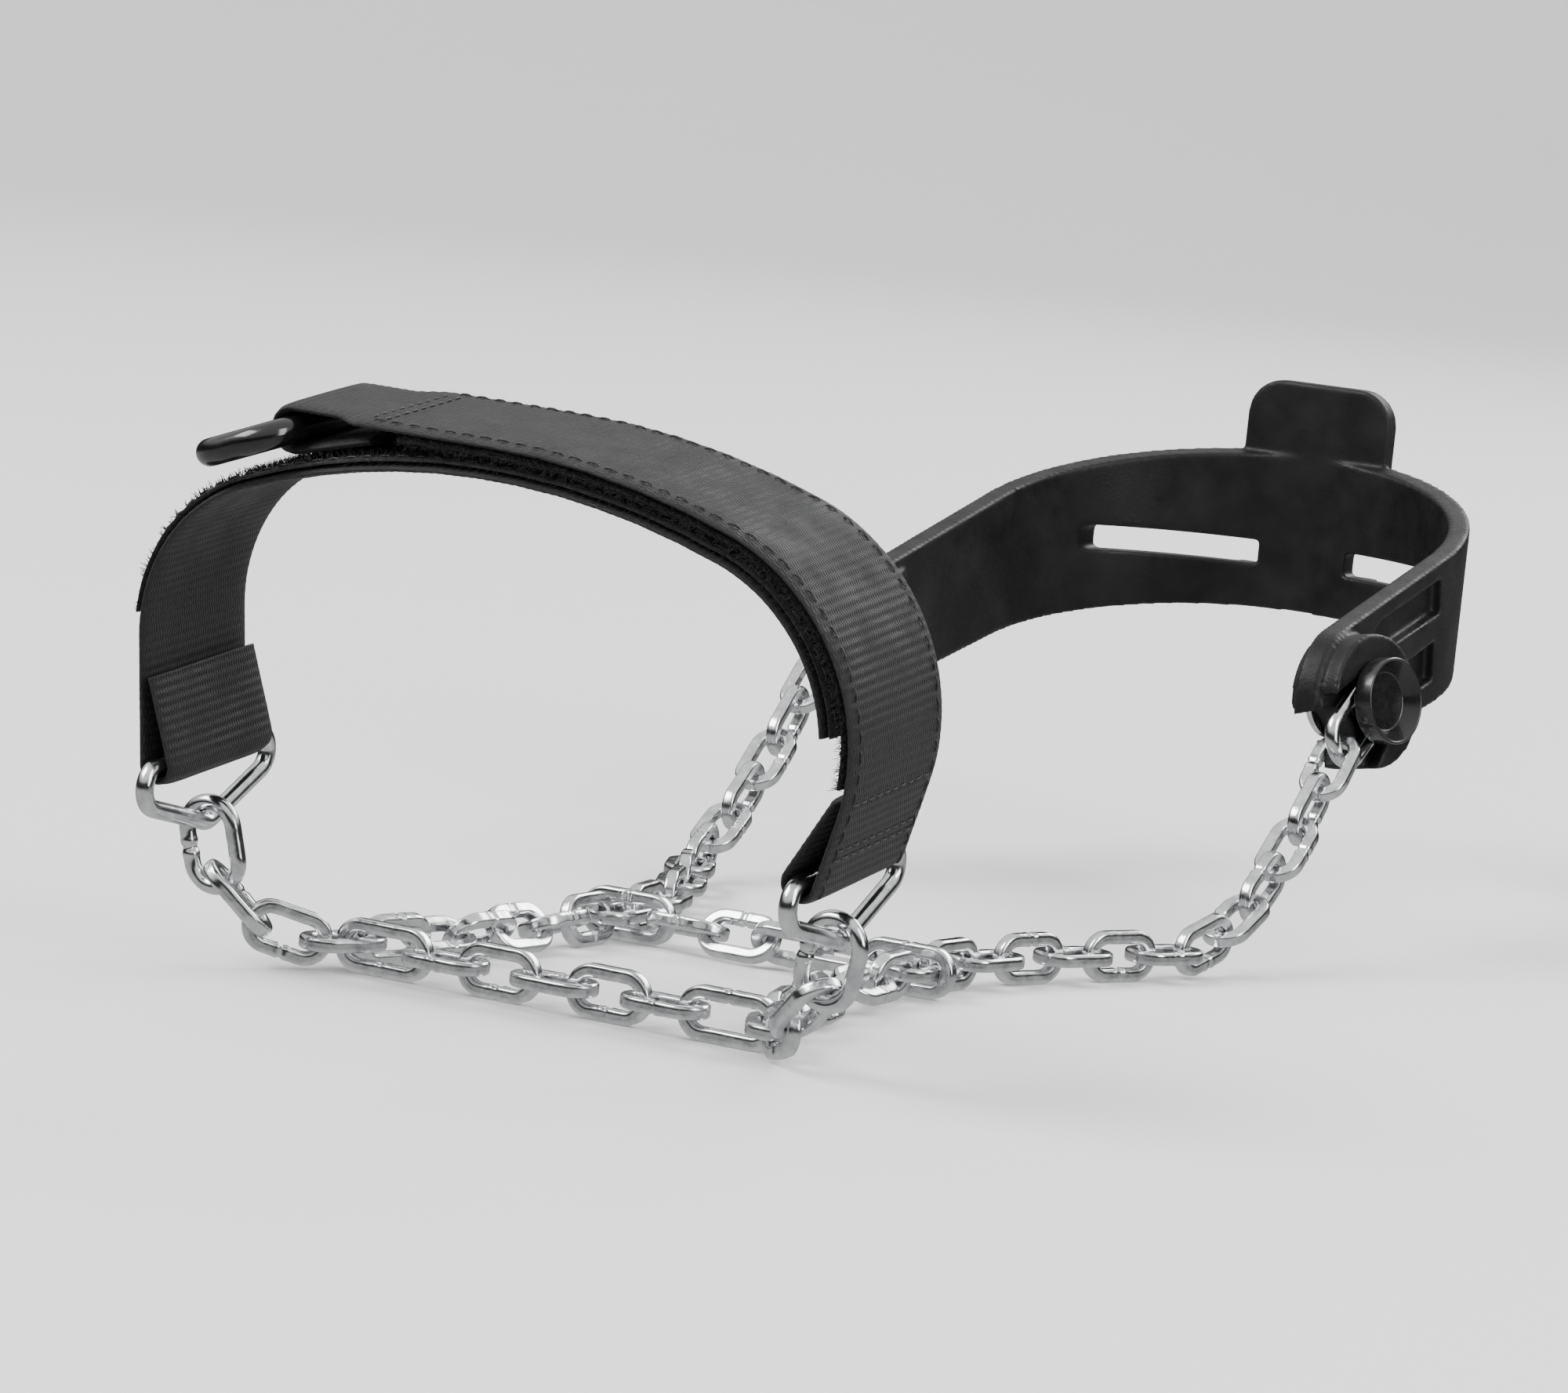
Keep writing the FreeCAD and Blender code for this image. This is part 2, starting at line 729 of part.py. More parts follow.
# The side outline that is kept: boss, rising rim and hem.
outline = new_sketch(sling, "side", "YZ_Plane")
boss_bend = size("boss_round") / 2
rim_bend, hem_bend = size("rim_round") / 2, size("hem_round") / 2
back_y = heel_y + sling_half
draw_belt(outline, [
    (placed(rivet_point.y), placed(rivet_point.z), boss_bend),
    (back_y, size("sling_bottom") + hem_bend, hem_bend),
    (back_y, size("sling_top") - rim_bend, rim_bend),
])
ahead, behind = cut_y - size("boss_round"), back_y + size("boss_round")
under, over = -size("boss_round"), size("tab_top") + size("boss_round")
draw_polygon(outline, [(ahead, under), (behind, under), (behind, over), (ahead, over)])
extrude(sling, "Pocket", "side_cut", outline, middle=True)

tab = new_sketch(sling, "tab", "XZ_Plane",
                 FreeCAD.Placement(V(0, 0, -back_y.value), FreeCAD.Rotation()))
tab_bend = size("tab_corner")
tab_x = size("tab_width") / 2 - tab_bend
tab_high, tab_low = size("tab_top") - tab_bend, size("sling_top") - size("rim_round")
draw_belt(tab, [
    (tab_x, tab_high, tab_bend), (-tab_x, tab_high, tab_bend),
    (-tab_x, tab_low, tab_bend), (tab_x, tab_low, tab_bend),
])
extrude(sling, "Pad", "pull_tab", tab, size("sling_wall"))

windows = new_sketch(sling, "windows", "XZ_Plane",
                     FreeCAD.Placement(V(0, 0, -heel_y.value), FreeCAD.Rotation()))
low, high = size("window_low"), size("window_high")
for sign in (1, -1):
    inner, outer_x = size("window_inner") * sign, size("window_outer") * sign
    draw_polygon(windows, [(inner, low), (outer_x, low), (outer_x, high), (inner, high)])
extrude(sling, "Pocket", "window_cut", windows, sling_half * 1.5)

boss = across_rivet(sling, "boss", boss_face)
draw_circle(boss, ZERO, ZERO, boss_bend)
boss_pad = extrude(sling, "Pad", "boss_pad", boss, size("boss_depth"), backwards=True)

along_x, along_y = -math.cos(dip), -math.sin(dip)
far_x, far_y = placed(along_x * link_reach), placed(along_y * link_reach)
hollow = across_rivet(sling, "hollow", boss_face)
hollow_bend = heel_link_hole_width / 2 + size("heel_link_wire") + size("heel_link_gap")
draw_belt(hollow, [(ZERO, ZERO, hollow_bend), (far_x, far_y, hollow_bend * 1.5)])
hollow_cut = extrude(sling, "Pocket", "hollow_cut", hollow, size("hollow_depth"))

notch = across_rivet(sling, "notch", boss_face)
draw_circle(notch, far_x, far_y, size("notch_round") / 2)
notch_cut = extrude(sling, "Pocket", "notch_cut", notch, size("boss_depth") * 1.6)

bore = across_rivet(sling, "bore", boss_face)
draw_circle(bore, ZERO, ZERO, size("rivet_post") / 2 + size("bore_gap"))
bore_cut = extrude(sling, "Pocket", "bore_cut", bore, size("boss_depth") * 1.6)

seat = across_rivet(sling, "seat", washer_seat)
draw_circle(seat, ZERO, ZERO, size("rivet_back") / 2 + size("heel_link_gap"))
seat_cut = extrude(sling, "Pocket", "seat_cut", seat, size("boss_depth"))

other = sling.newObject("PartDesign::Mirrored", "heel_sling_other_boss")
other.Originals = [boss_pad, hollow_cut, notch_cut, bore_cut, seat_cut]
side_plane = next(f for f in sling.Origin.OriginFeatures if f.Role == "YZ_Plane")
other.MirrorPlane = (side_plane, [""])
sling.Tip = other
parts.append(sling)


# ---------------------------------------------------------------- rivets


def round_bar(label, radius, length):
    bar = doc.addObject("Part::Cylinder", label)
    bar.setExpression("Radius", radius.text)
    bar.setExpression("Height", length.text)
    return bar


def cut_from(label, base, tool):
    piece = doc.addObject("Part::Cut", label)
    piece.Label = label
    piece.Base, piece.Tool = base, tool
    return piece


def rivet(side):
    """The dished head, the post and the washer of one rivet."""
    head_thick, floor = size("rivet_head_thick"), size("rivet_floor")
    disc = round_bar(f"head_disc_{side}", size("rivet_head") / 2, head_thick)
    hollow_bar = round_bar(
        f"head_dish_{side}", size("rivet_head") / 2 - size("rivet_rim"), head_thick * 2
    )
    hollow_bar.setExpression("Placement.Base.z", floor.text)
    post_radius = size("rivet_post") / 2
    back_thick = size("rivet_back_thick")
    plate = round_bar(f"washer_disc_{side}", size("rivet_back") / 2, back_thick)
    hole = round_bar(f"washer_hole_{side}", post_radius + size("bore_gap"), back_thick * 2)
    pieces = (
        (cut_from(f"rivet_head_{side}", disc, hollow_bar), head_seat),
        (round_bar(f"rivet_post_{side}", post_radius, head_seat - washer_seat + back_thick),
         washer_seat - back_thick),
        (cut_from(f"rivet_washer_{side}", plate, hole), washer_seat - back_thick),
    )
    for piece, height in pieces:
        frame = on_rivet(height)
        turn = FreeCAD.Rotation(UP, flipped(rivet_out, side))
        piece.Placement = FreeCAD.Placement(flipped(frame.Base, side), turn)
        parts.append(piece)


for side in SIDES:
    rivet(side)


# ---------------------------------------------------------------- origin, checks and files

doc.recompute()
for thing in doc.Objects:
    bad = [state for state in thing.State if state in ("Invalid", "Error")]
    if bad:
        raise RuntimeError(f"{thing.Label} did not build: {bad}")

low_corner = V(*(min(getattr(p.Shape.BoundBox, f"{a}Min") for p in parts) for a in "XYZ"))
high_corner = V(*(max(getattr(p.Shape.BoundBox, f"{a}Max") for p in parts) for a in "XYZ"))
print("box", low_corner, high_corner)
for part in parts:
    if part.Shape.isNull() or not part.Shape.isValid():
        raise RuntimeError(f"{part.Label} has no valid shape")

os.makedirs("parts", exist_ok=True)
for part in parts:
    part.Shape.exportStep(f"parts/{part.Label}.step")
print(len(parts), "nodes")
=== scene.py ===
import json
import logging
import math
import random
from collections.abc import Iterator, Sequence
from dataclasses import dataclass
from enum import Enum

import bmesh
import bpy
import numpy as np
from mathutils import Matrix, Vector, noise

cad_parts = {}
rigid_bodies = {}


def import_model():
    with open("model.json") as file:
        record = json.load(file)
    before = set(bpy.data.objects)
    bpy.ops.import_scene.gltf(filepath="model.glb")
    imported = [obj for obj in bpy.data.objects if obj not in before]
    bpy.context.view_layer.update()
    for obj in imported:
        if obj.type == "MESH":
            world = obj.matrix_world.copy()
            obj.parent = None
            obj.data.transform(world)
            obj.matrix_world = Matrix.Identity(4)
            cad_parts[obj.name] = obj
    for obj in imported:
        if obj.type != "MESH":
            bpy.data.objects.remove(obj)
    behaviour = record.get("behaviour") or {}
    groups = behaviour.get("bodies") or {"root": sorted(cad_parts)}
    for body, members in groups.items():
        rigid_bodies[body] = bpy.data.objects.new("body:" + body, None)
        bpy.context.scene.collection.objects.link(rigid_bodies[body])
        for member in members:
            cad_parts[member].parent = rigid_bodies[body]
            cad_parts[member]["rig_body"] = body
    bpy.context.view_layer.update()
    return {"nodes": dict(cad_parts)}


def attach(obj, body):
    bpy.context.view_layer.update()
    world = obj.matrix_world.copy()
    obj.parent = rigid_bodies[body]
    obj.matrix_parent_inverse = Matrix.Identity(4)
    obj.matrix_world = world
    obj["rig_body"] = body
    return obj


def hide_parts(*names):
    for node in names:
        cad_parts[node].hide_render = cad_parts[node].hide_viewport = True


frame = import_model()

# Sizes are in millimetres and angles in degrees; meshes are stored in metres.
MM = 0.001
LOG = logging.getLogger("ice_cleat")
WEAVE_MAP = "weave"
NOISE_SEED = 7
Array = np.ndarray
Shell = tuple[Array, list[list[int]]]
Socket = bpy.types.NodeSocket


# ---------------------------------------------------------------- finishes


class ShaderDesk:
    """The node tree of one new material, with short calls to fill it."""

    def __init__(self, name: str) -> None:
        """Start a material with its shader.

        Args:
            name: The name of the material.
        """
        self.material = bpy.data.materials.new(name)
        self.material.use_nodes = True
        self.nodes = self.material.node_tree.nodes
        self.links = self.material.node_tree.links
        self.shader = self.nodes["Principled BSDF"]
        self.place = self.nodes.new("ShaderNodeTexCoord").outputs["Object"]

    def fix(self, **values: float | tuple) -> None:
        """Set plain values on the shader's own sockets.

        Args:
            **values: Socket names, with _ for each space, and their values.
        """
        for name, value in values.items():
            self.shader.inputs[name.replace("_", " ")].default_value = value

    def grain(
        self, size: float, detail: float = 3.0, stretch: Sequence[float] = (1, 1, 1),
    ) -> Socket:
        """A noise between 0 and 1.

        Args:
            size: The size of its patches, in millimetres.
            detail: How many finer layers it has.
            stretch: How much finer it is along each axis.

        Returns:
            The socket that holds the noise.
        """
        spread = self.nodes.new("ShaderNodeMapping")
        spread.inputs["Scale"].default_value = stretch
        self.links.new(self.place, spread.inputs["Vector"])
        node = self.nodes.new("ShaderNodeTexNoise")
        node.inputs["Scale"].default_value = 1 / (size * MM)
        node.inputs["Detail"].default_value = detail
        self.links.new(spread.outputs["Vector"], node.inputs["Vector"])
        return node.outputs["Fac"]

    def cells(self, size: float) -> Socket:
        """The distance to the nearest of many scattered points.

        Args:
            size: The distance between the points, in millimetres.

        Returns:
            The socket that holds the distance.
        """
        node = self.nodes.new("ShaderNodeTexVoronoi")
        node.inputs["Scale"].default_value = 1 / (size * MM)
        self.links.new(self.place, node.inputs["Vector"])
        return node.outputs["Distance"]

    def sum(self, kind: str, *terms: Socket | float) -> Socket:
        """One step of arithmetic.

        Args:
            kind: What to do, such as MULTIPLY.
            *terms: The sockets and numbers that it is done to.

        Returns:
            The socket that holds the outcome.
        """
        node = self.nodes.new("ShaderNodeMath")
        node.operation = kind
        for socket, term in zip(node.inputs, terms):
            if isinstance(term, (int, float)):
                socket.default_value = term
            else:
                self.links.new(term, socket)
        return node.outputs[0]

    def weave(self, warp: float, rib: float) -> Socket:
        """Lengthwise yarns that step over by half a yarn at each crosswise rib.

        Args:
            warp: The distance between yarns, in millimetres.
            rib: The distance between ribs, in millimetres.

        Returns:
            The socket that holds the height.
        """
        strip = self.nodes.new("ShaderNodeUVMap")
        strip.uv_map = WEAVE_MAP
        split = self.nodes.new("ShaderNodeSeparateXYZ")
        self.links.new(strip.outputs["UV"], split.inputs[0])
        row = self.sum("FLOOR", self.sum("DIVIDE", split.outputs["X"], rib * MM))
        yarn = self.sum("DIVIDE", split.outputs["Y"], warp * MM)
        turn = self.sum("ADD", yarn, self.sum("MULTIPLY", row, 0.5))
        wave = self.sum("SINE", self.sum("MULTIPLY", turn, 2 * math.pi))
        return self.sum("MULTIPLY_ADD", wave, 0.5, 0.5)

    def edges(self) -> Socket:
        """How sharply the surface is curved, about a half where it is flat."""
        return self.nodes.new("ShaderNodeNewGeometry").outputs["Pointiness"]

    def spread(
        self, source: Socket, old: tuple[float, float], new: tuple[float, float],
    ) -> Socket:
        """Carry one range over to another, held at its ends.

        Args:
            source: The socket that is read.
            old: The range that is read.
            new: The range that comes out.

        Returns:
            The socket that holds the new value.
        """
        node = self.nodes.new("ShaderNodeMapRange")
        names = ("From Min", "From Max", "To Min", "To Max")
        for name, value in zip(names, (*old, *new)):
            node.inputs[name].default_value = value
        self.links.new(source, node.inputs["Value"])
        return node.outputs["Result"]

    def blend(self, share: Socket, first: tuple | Socket, second: tuple) -> Socket:
        """Mix two colours.

        Args:
            share: The socket that says how much of the second there is.
            first: The first colour, or the socket that holds it.
            second: The second colour.

        Returns:
            The socket that holds the mixed colour.
        """
        node = self.nodes.new("ShaderNodeMix")
        node.data_type = "RGBA"
        self.links.new(share, node.inputs["Factor"])
        if isinstance(first, tuple):
            node.inputs["A"].default_value = (*first, 1)
        else:
            self.links.new(first, node.inputs["A"])
        node.inputs["B"].default_value = (*second, 1)
        return node.outputs["Result"]

    def bump(self, height: Socket, depth: float, strength: float = 1.0) -> None:
        """Add a bump on top of those that are there.

        Args:
            height: The socket that holds the height, from 0 to 1.
            depth: How deep the bump is, in millimetres.
            strength: How much of it shows.
        """
        node = self.nodes.new("ShaderNodeBump")
        node.inputs["Distance"].default_value = depth * MM
        node.inputs["Strength"].default_value = strength
        self.links.new(height, node.inputs["Height"])
        under = self.shader.inputs["Normal"]
        if under.links:
            self.links.new(under.links[0].from_socket, node.inputs["Normal"])
        self.links.new(node.outputs["Normal"], under)

    def colour(self, source: Socket) -> None:
        """Use a socket as the surface's colour."""
        self.links.new(source, self.shader.inputs["Base Color"])

    def roughness(self, source: Socket) -> None:
        """Use a socket as the surface's roughness."""
        self.links.new(source, self.shader.inputs["Roughness"])


@dataclass(frozen=True)
class PlatedSteel:
    """Bright plated wire: soft waves, fine scratches and painted shade (dark grey) in the creases.
    """

    name: str
    bright: tuple[float, float, float] = (0.80, 0.81, 0.82)
    dull: tuple[float, float, float] = (0.58, 0.59, 0.60)
    crease_shade: tuple[float, float, float] = (0.16, 0.16, 0.16)
    smooth: float = 0.08
    rough: float = 0.26
    wave: float = 0.03

    def make(self) -> bpy.types.Material:
        """The material."""
        desk = ShaderDesk(self.name)
        desk.fix(Metallic=1.0, IOR=1.5)
        patches = desk.spread(desk.grain(2.2), (0.38, 0.68), (0, 1))
        body = desk.blend(patches, self.bright, self.dull)
        # Painted shade: the colour goes dark grey in concave creases, where shade falls.
        crease_shade_mask = desk.spread(desk.edges(), (0.40, 0.47), (1, 0))
        desk.colour(desk.blend(crease_shade_mask, body, self.crease_shade))
        shine = (self.smooth, self.rough)
        desk.roughness(desk.spread(desk.grain(0.9, 4), (0.35, 0.7), shine))
        desk.bump(desk.grain(1.4, 1), self.wave)
        desk.bump(desk.grain(0.12, 4, (1, 5, 1)), 0.006)
        return desk.material


@dataclass(frozen=True)
class Webbing:
    """Black woven polyester: fine yarns, a soft sheen, faded yarns at random and a painted
    highlight on the high yarns.
    """

    name: str
    yarn: tuple[float, float, float] = (0.0035, 0.0035, 0.0042)
    faded_and_highlight: tuple[float, float, float] = (0.012, 0.0122, 0.0135)
    rough: float = 0.66
    sheen: float = 0.05
    warp: float = 0.55
    rib: float = 1.25

    def make(self) -> bpy.types.Material:
        """The material."""
        desk = ShaderDesk(self.name)
        desk.fix(Sheen_Weight=self.sheen, Sheen_Roughness=0.45, Specular_IOR_Level=0.32)
        fine = desk.grain(0.28, 3)
        # Painted highlight: the faded colour is laid on the high yarns and edges, where light
        # catches them; it also varies at random across the yarns.
        high_yarn_highlight = desk.spread(desk.edges(), (0.49, 0.56), (0, 0.5))
        mixed = desk.blend(desk.spread(fine, (0.35, 0.75), (0, 1)), self.yarn, self.faded_and_highlight)
        desk.colour(desk.blend(high_yarn_highlight, mixed, self.faded_and_highlight))
        shine = (self.rough - 0.1, self.rough + 0.12)
        desk.roughness(desk.spread(desk.grain(6), (0.3, 0.7), shine))
        desk.bump(desk.weave(self.warp, self.rib), 0.07, 0.9)
        desk.bump(fine, 0.03, 0.5)
        return desk.material


@dataclass(frozen=True)
class Fluff:
    """Soft dull fibre that swallows light."""

    name: str
    fibre: tuple[float, float, float] = (0.003, 0.003, 0.0035)
    tip: tuple[float, float, float] = (0.014, 0.014, 0.015)

    def make(self) -> bpy.types.Material:
        """The material."""
        desk = ShaderDesk(self.name)
        desk.fix(Sheen_Weight=0.08, Sheen_Roughness=0.6, Specular_IOR_Level=0.2)
        tips = desk.spread(desk.grain(0.5, 4), (0.4, 0.7), (0, 1))
        desk.colour(desk.blend(tips, self.fibre, self.tip))
        desk.roughness(desk.spread(desk.grain(0.8), (0.3, 0.7), (0.85, 1.0)))
        desk.bump(desk.grain(0.25, 4), 0.25)
        return desk.material


@dataclass(frozen=True)
class MouldedRubber:
    """Matte black rubber with a fine mould grain, pale dust and a painted highlight (lighter
    colour) on its convex edges.
    """

    name: str
    body: tuple[float, float, float] = (0.0050, 0.0050, 0.0053)
    dust_and_highlight: tuple[float, float, float] = (0.013, 0.013, 0.0135)
    rough: float = 0.46

    def make(self) -> bpy.types.Material:
        """The material."""
        desk = ShaderDesk(self.name)
        desk.fix(Specular_IOR_Level=0.24, IOR=1.5)
        clouds = desk.spread(desk.grain(9, 5), (0.42, 0.75), (0, 0.7))
        mixed = desk.blend(clouds, self.body, self.dust_and_highlight)
        # Painted highlight: the pale dust colour is laid on the convex edges, where light catches
        # them; the clouds above are real dust.
        rubbed_and_edge_highlight = desk.spread(desk.edges(), (0.505, 0.56), (0, 0.6))
        desk.colour(desk.blend(rubbed_and_edge_highlight, mixed, self.dust_and_highlight))
        shine = (self.rough - 0.08, self.rough + 0.12)
        desk.roughness(desk.spread(desk.grain(4, 4), (0.3, 0.7), shine))
        desk.bump(desk.cells(0.33), 0.035, 0.7)
        desk.bump(desk.grain(0.9, 4), 0.05, 0.6)
        return desk.material


@dataclass(frozen=True)
class GlossyBlack:
    """Hard glossy black, moulded or painted, with faint waves and rubbed patches."""

    name: str
    body: tuple[float, float, float] = (0.003, 0.003, 0.0035)
    rubbed_and_edge_highlight: tuple[float, float, float] = (0.010, 0.010, 0.011)
    smooth: float = 0.12
    rough: float = 0.26
    coat: float = 0.4

    def make(self) -> bpy.types.Material:
        """The material."""
        desk = ShaderDesk(self.name)
        desk.fix(Coat_Weight=self.coat, Coat_Roughness=0.08, Specular_IOR_Level=0.5)
        patches = desk.spread(desk.grain(3, 4), (0.45, 0.8), (0, 1))
        desk.colour(desk.blend(patches, self.body, self.rubbed_and_edge_highlight))
        shine = (self.smooth, self.rough)
        desk.roughness(desk.spread(desk.grain(1.2, 5), (0.35, 0.7), shine))
        desk.bump(desk.grain(5, 1), 0.03, 0.5)
        return desk.material


@dataclass(frozen=True)
class SewingThread:
    """Twisted black thread, a little shinier than the webbing."""

    name: str
    body: tuple[float, float, float] = (0.008, 0.008, 0.009)
    light: tuple[float, float, float] = (0.030, 0.030, 0.033)

    def make(self) -> bpy.types.Material:
        """The material."""
        desk = ShaderDesk(self.name)
        desk.fix(Sheen_Weight=0.06, Sheen_Roughness=0.4)
        twist = desk.grain(0.16, 2, (1, 3, 1))
        desk.colour(desk.blend(desk.spread(twist, (0.35, 0.7), (0, 1)), self.body, self.light))
        desk.roughness(desk.spread(twist, (0.3, 0.7), (0.42, 0.6)))
        desk.bump(twist, 0.04)
        return desk.material


class Finish(Enum):
    """Every finish on the cleat."""

    CHAIN = PlatedSteel("chain_zinc")
    WIRE = PlatedSteel("ring_wire_zinc", smooth=0.06, rough=0.2, wave=0.02)
    WEBBING = Webbing("strap_webbing")
    FLUFF = Fluff("strap_pile")
    HOOKS = Fluff("strap_hooks", fibre=(0.004, 0.004, 0.0045), tip=(0.020, 0.020, 0.021))
    RUBBER = MouldedRubber("moulded_black_rubber")
    RING = GlossyBlack("finger_ring_plastic")
    RIVET = GlossyBlack(
        "dish_black_paint", body=(0.006, 0.006, 0.0065), smooth=0.22, rough=0.34, coat=0.3,
    )
    STEEL = PlatedSteel("post_steel", smooth=0.2, rough=0.36)
    THREAD = SewingThread("strap_thread")

    @property
    def material(self) -> bpy.types.Material:
        """The material of this finish, made once."""
        return bpy.data.materials.get(self.value.name) or self.value.make()


# ---------------------------------------------------------------- mesh tools


def skin(rings: Array, closed: bool) -> Shell:
    """Join rings of points with four-sided faces.

    Args:
        rings: The points, by ring, by place round the ring.
        closed: Whether the last ring joins the first.

    Returns:
        The points in one list and the faces.
    """
    count, around = rings.shape[:2]
    index = np.arange(count * around).reshape(count, around)
    here = index if closed else index[:-1]
    ahead = np.roll(index, -1, 0) if closed else index[1:]
    quads = np.stack([here, ahead, np.roll(ahead, -1, 1), np.roll(here, -1, 1)], -1)
    faces = quads.reshape(-1, 4).tolist()
    if not closed:
        faces += [index[0][::-1].tolist(), index[-1].tolist()]
    return rings.reshape(-1, 3), faces


def joined(shells: Sequence[Shell]) -> Shell:
    """Put several meshes into one.

    Args:
        shells: The points and faces of each.

    Returns:
        The points and faces of all.
    """
    points, faces, start = [], [], 0
    for shell_points, shell_faces in shells:
        points.append(shell_points)
        faces += [[corner + start for corner in face] for face in shell_faces]
        start += len(shell_points)
    return np.concatenate(points), faces


def lengths(points: Array) -> Array:
    """The distance along a line of points to each of them."""
    return np.r_[0, np.cumsum(np.linalg.norm(np.diff(points, axis=0), axis=1))]


def evenly(rough: Array, count: int) -> Array:
    """Evenly spaced points along a flat line of points.

    Args:
        rough: The points of the line.
        count: How many even points there are, with both ends.

    Returns:
        The even points.
    """
    along = lengths(rough)
    even = np.linspace(0, along[-1], count)
    return np.stack([np.interp(even, along, rough[:, k]) for k in (0, 1)], 1)


def outward(path: Array) -> Array:
    """The outward directions round a closed flat path."""
    ahead = np.roll(path, -1, 0) - np.roll(path, 1, 0)
    ahead /= np.linalg.norm(ahead, axis=1)[:, None]
    return np.stack([ahead[:, 1], -ahead[:, 0]], 1)


def sweep(path: Array, outs: Array, section: Array) -> Array:
    """Carry a section along a flat path.

    Args:
        path: The path's points in its plane.
        outs: The outward direction at each of them.
        section: The section, one for the whole path or one for each point.

    Returns:
        The points, by place on the path, by place round the section.
    """
    flat = path[:, None] + outs[:, None] * section[..., :1]
    return np.concatenate([flat, np.broadcast_to(section[..., 1:], (*flat.shape[:2], 1))], 2)


def wander(points: Array, pace: float, depth: float, seed: Sequence[float] = (0, 0, 0)) -> Array:
    """Move points a little by a smooth noise.

    Args:
        points: The points.
        pace: How fast the noise changes, per millimetre.
        depth: How far the points move.
        seed: Where in the noise the points lie.

    Returns:
        The moved points.
    """
    start = Vector(seed)
    shifts = [noise.noise_vector(Vector(point) * pace + start)[:] for point in points]
    return points + np.array(shifts) * depth


def rounded_square(half: float, corner: float, steps: int = 4) -> Array:
    """The section of squared wire.

    Args:
        half: Half of its width.
        corner: The radius of its edges.
        steps: Points on each rounded edge.

    Returns:
        Its points, in order.
    """
    points = []
    mid = math.sqrt(2) * (half - corner)
    for quarter in range(4):
        way = math.radians(90 * quarter + 45)
        for step in range(steps + 1):
            turn = math.radians(90 * quarter + 90 * step / steps)
            points.append((
                mid * math.cos(way) + corner * math.cos(turn),
                mid * math.sin(way) + corner * math.sin(turn),
            ))
        way, after = math.radians(90 * quarter + 90), points[-1]
        level = (half * math.cos(way), half * math.sin(way))
        points.append(((level[0] + after[0]) / 2, (level[1] + after[1]) / 2))
        points.append((2 * level[0] - points[-1][0], 2 * level[1] - points[-1][1]))
    return np.array(points)


def round_section(radius: float, count: int = 20) -> Array:
    """The section of round wire."""
    turns = np.arange(count) * 2 * math.pi / count
    return np.stack([np.cos(turns), np.sin(turns)], 1) * radius


def new_object(name: str, shape: Shell) -> bpy.types.Object:
    """Make an object whose faces all look outward.

    Args:
        name: The object's name.
        shape: Its points, in millimetres, and its faces.

    Returns:
        The object, which is in no collection yet.
    """
    points, faces = shape
    mesh = bpy.data.meshes.new(name)
    mesh.from_pydata((points * MM).tolist(), [], faces)
    tidy = bmesh.new()
    tidy.from_mesh(mesh)
    bmesh.ops.recalc_face_normals(tidy, faces=tidy.faces)
    tidy.to_mesh(mesh)
    tidy.free()
    return bpy.data.objects.new(name, mesh)


def shade_smooth(mesh: bpy.types.Mesh) -> None:
    """Shade all faces of a mesh smooth."""
    mesh.polygons.foreach_set("use_smooth", [True] * len(mesh.polygons))


@dataclass
class Piece:
    """One visible piece of the cleat.

    Attributes:
        name: The piece's name.
        finish: What it is finished in.
        slot: The name of a material slot. It is not used.
        body: The body that it moves with.
        stands_for: The nodes that it replaces.
    """

    name: str
    finish: Finish
    slot: str
    body: str
    stands_for: Sequence[str] = ()

    def build(self, shape: Shell) -> bpy.types.Object:
        """Make the object.

        Args:
            shape: Its points, in millimetres, and its faces.

        Returns:
            The new object, on its body.
        """
        thing = new_object(self.name, shape)
        shade_smooth(thing.data)
        return self.place(thing)

    def place(self, thing: bpy.types.Object) -> bpy.types.Object:
        """Dress an object and put it on its body.

        Args:
            thing: The object, in place.

        Returns:
            The same object.
        """
        if thing.name not in bpy.context.scene.collection.objects:
            bpy.context.scene.collection.objects.link(thing)
        thing.data.materials.clear()
        thing.data.materials.append(self.finish.material)
        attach(thing, self.body)
        if self.stands_for:
            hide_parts(*self.stands_for)
        LOG.info("%s on %s: %d faces", thing.name, self.body, len(thing.data.polygons))
        return thing


def welded_mesh(source: bpy.types.Mesh) -> bmesh.types.BMesh:
    """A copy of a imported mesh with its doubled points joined, to be freed after use."""
    tidy = bmesh.new()
    tidy.from_mesh(source)
    bmesh.ops.remove_doubles(tidy, verts=tidy.verts, dist=1e-6)
    return tidy


def islands(node: str) -> list[tuple[Array, Array]]:
    """The separate solids of a node.

    Args:
        node: The node's name.

    Returns:
        For each solid, its points in millimetres and its triangles.
    """
    tidy = welded_mesh(frame["nodes"][node].data)
    bmesh.ops.triangulate(tidy, faces=tidy.faces)
    left, found = set(tidy.verts), []
    while left:
        seed = min(left, key=lambda v: v.index)
        seen, wave = {seed}, {seed}
        while wave:
            wave = {e.other_vert(v) for v in wave for e in v.link_edges} - seen
            seen |= wave
        left -= seen
        order = {v: i for i, v in enumerate(sorted(seen, key=lambda v: v.index))}
        points = np.array([v.co[:] for v in order]) / MM
        faces = sorted({f for v in seen for f in v.link_faces}, key=lambda f: f.index)
        found.append((points, np.array([[order[v] for v in f.verts] for f in faces])))
    tidy.free()
    return found


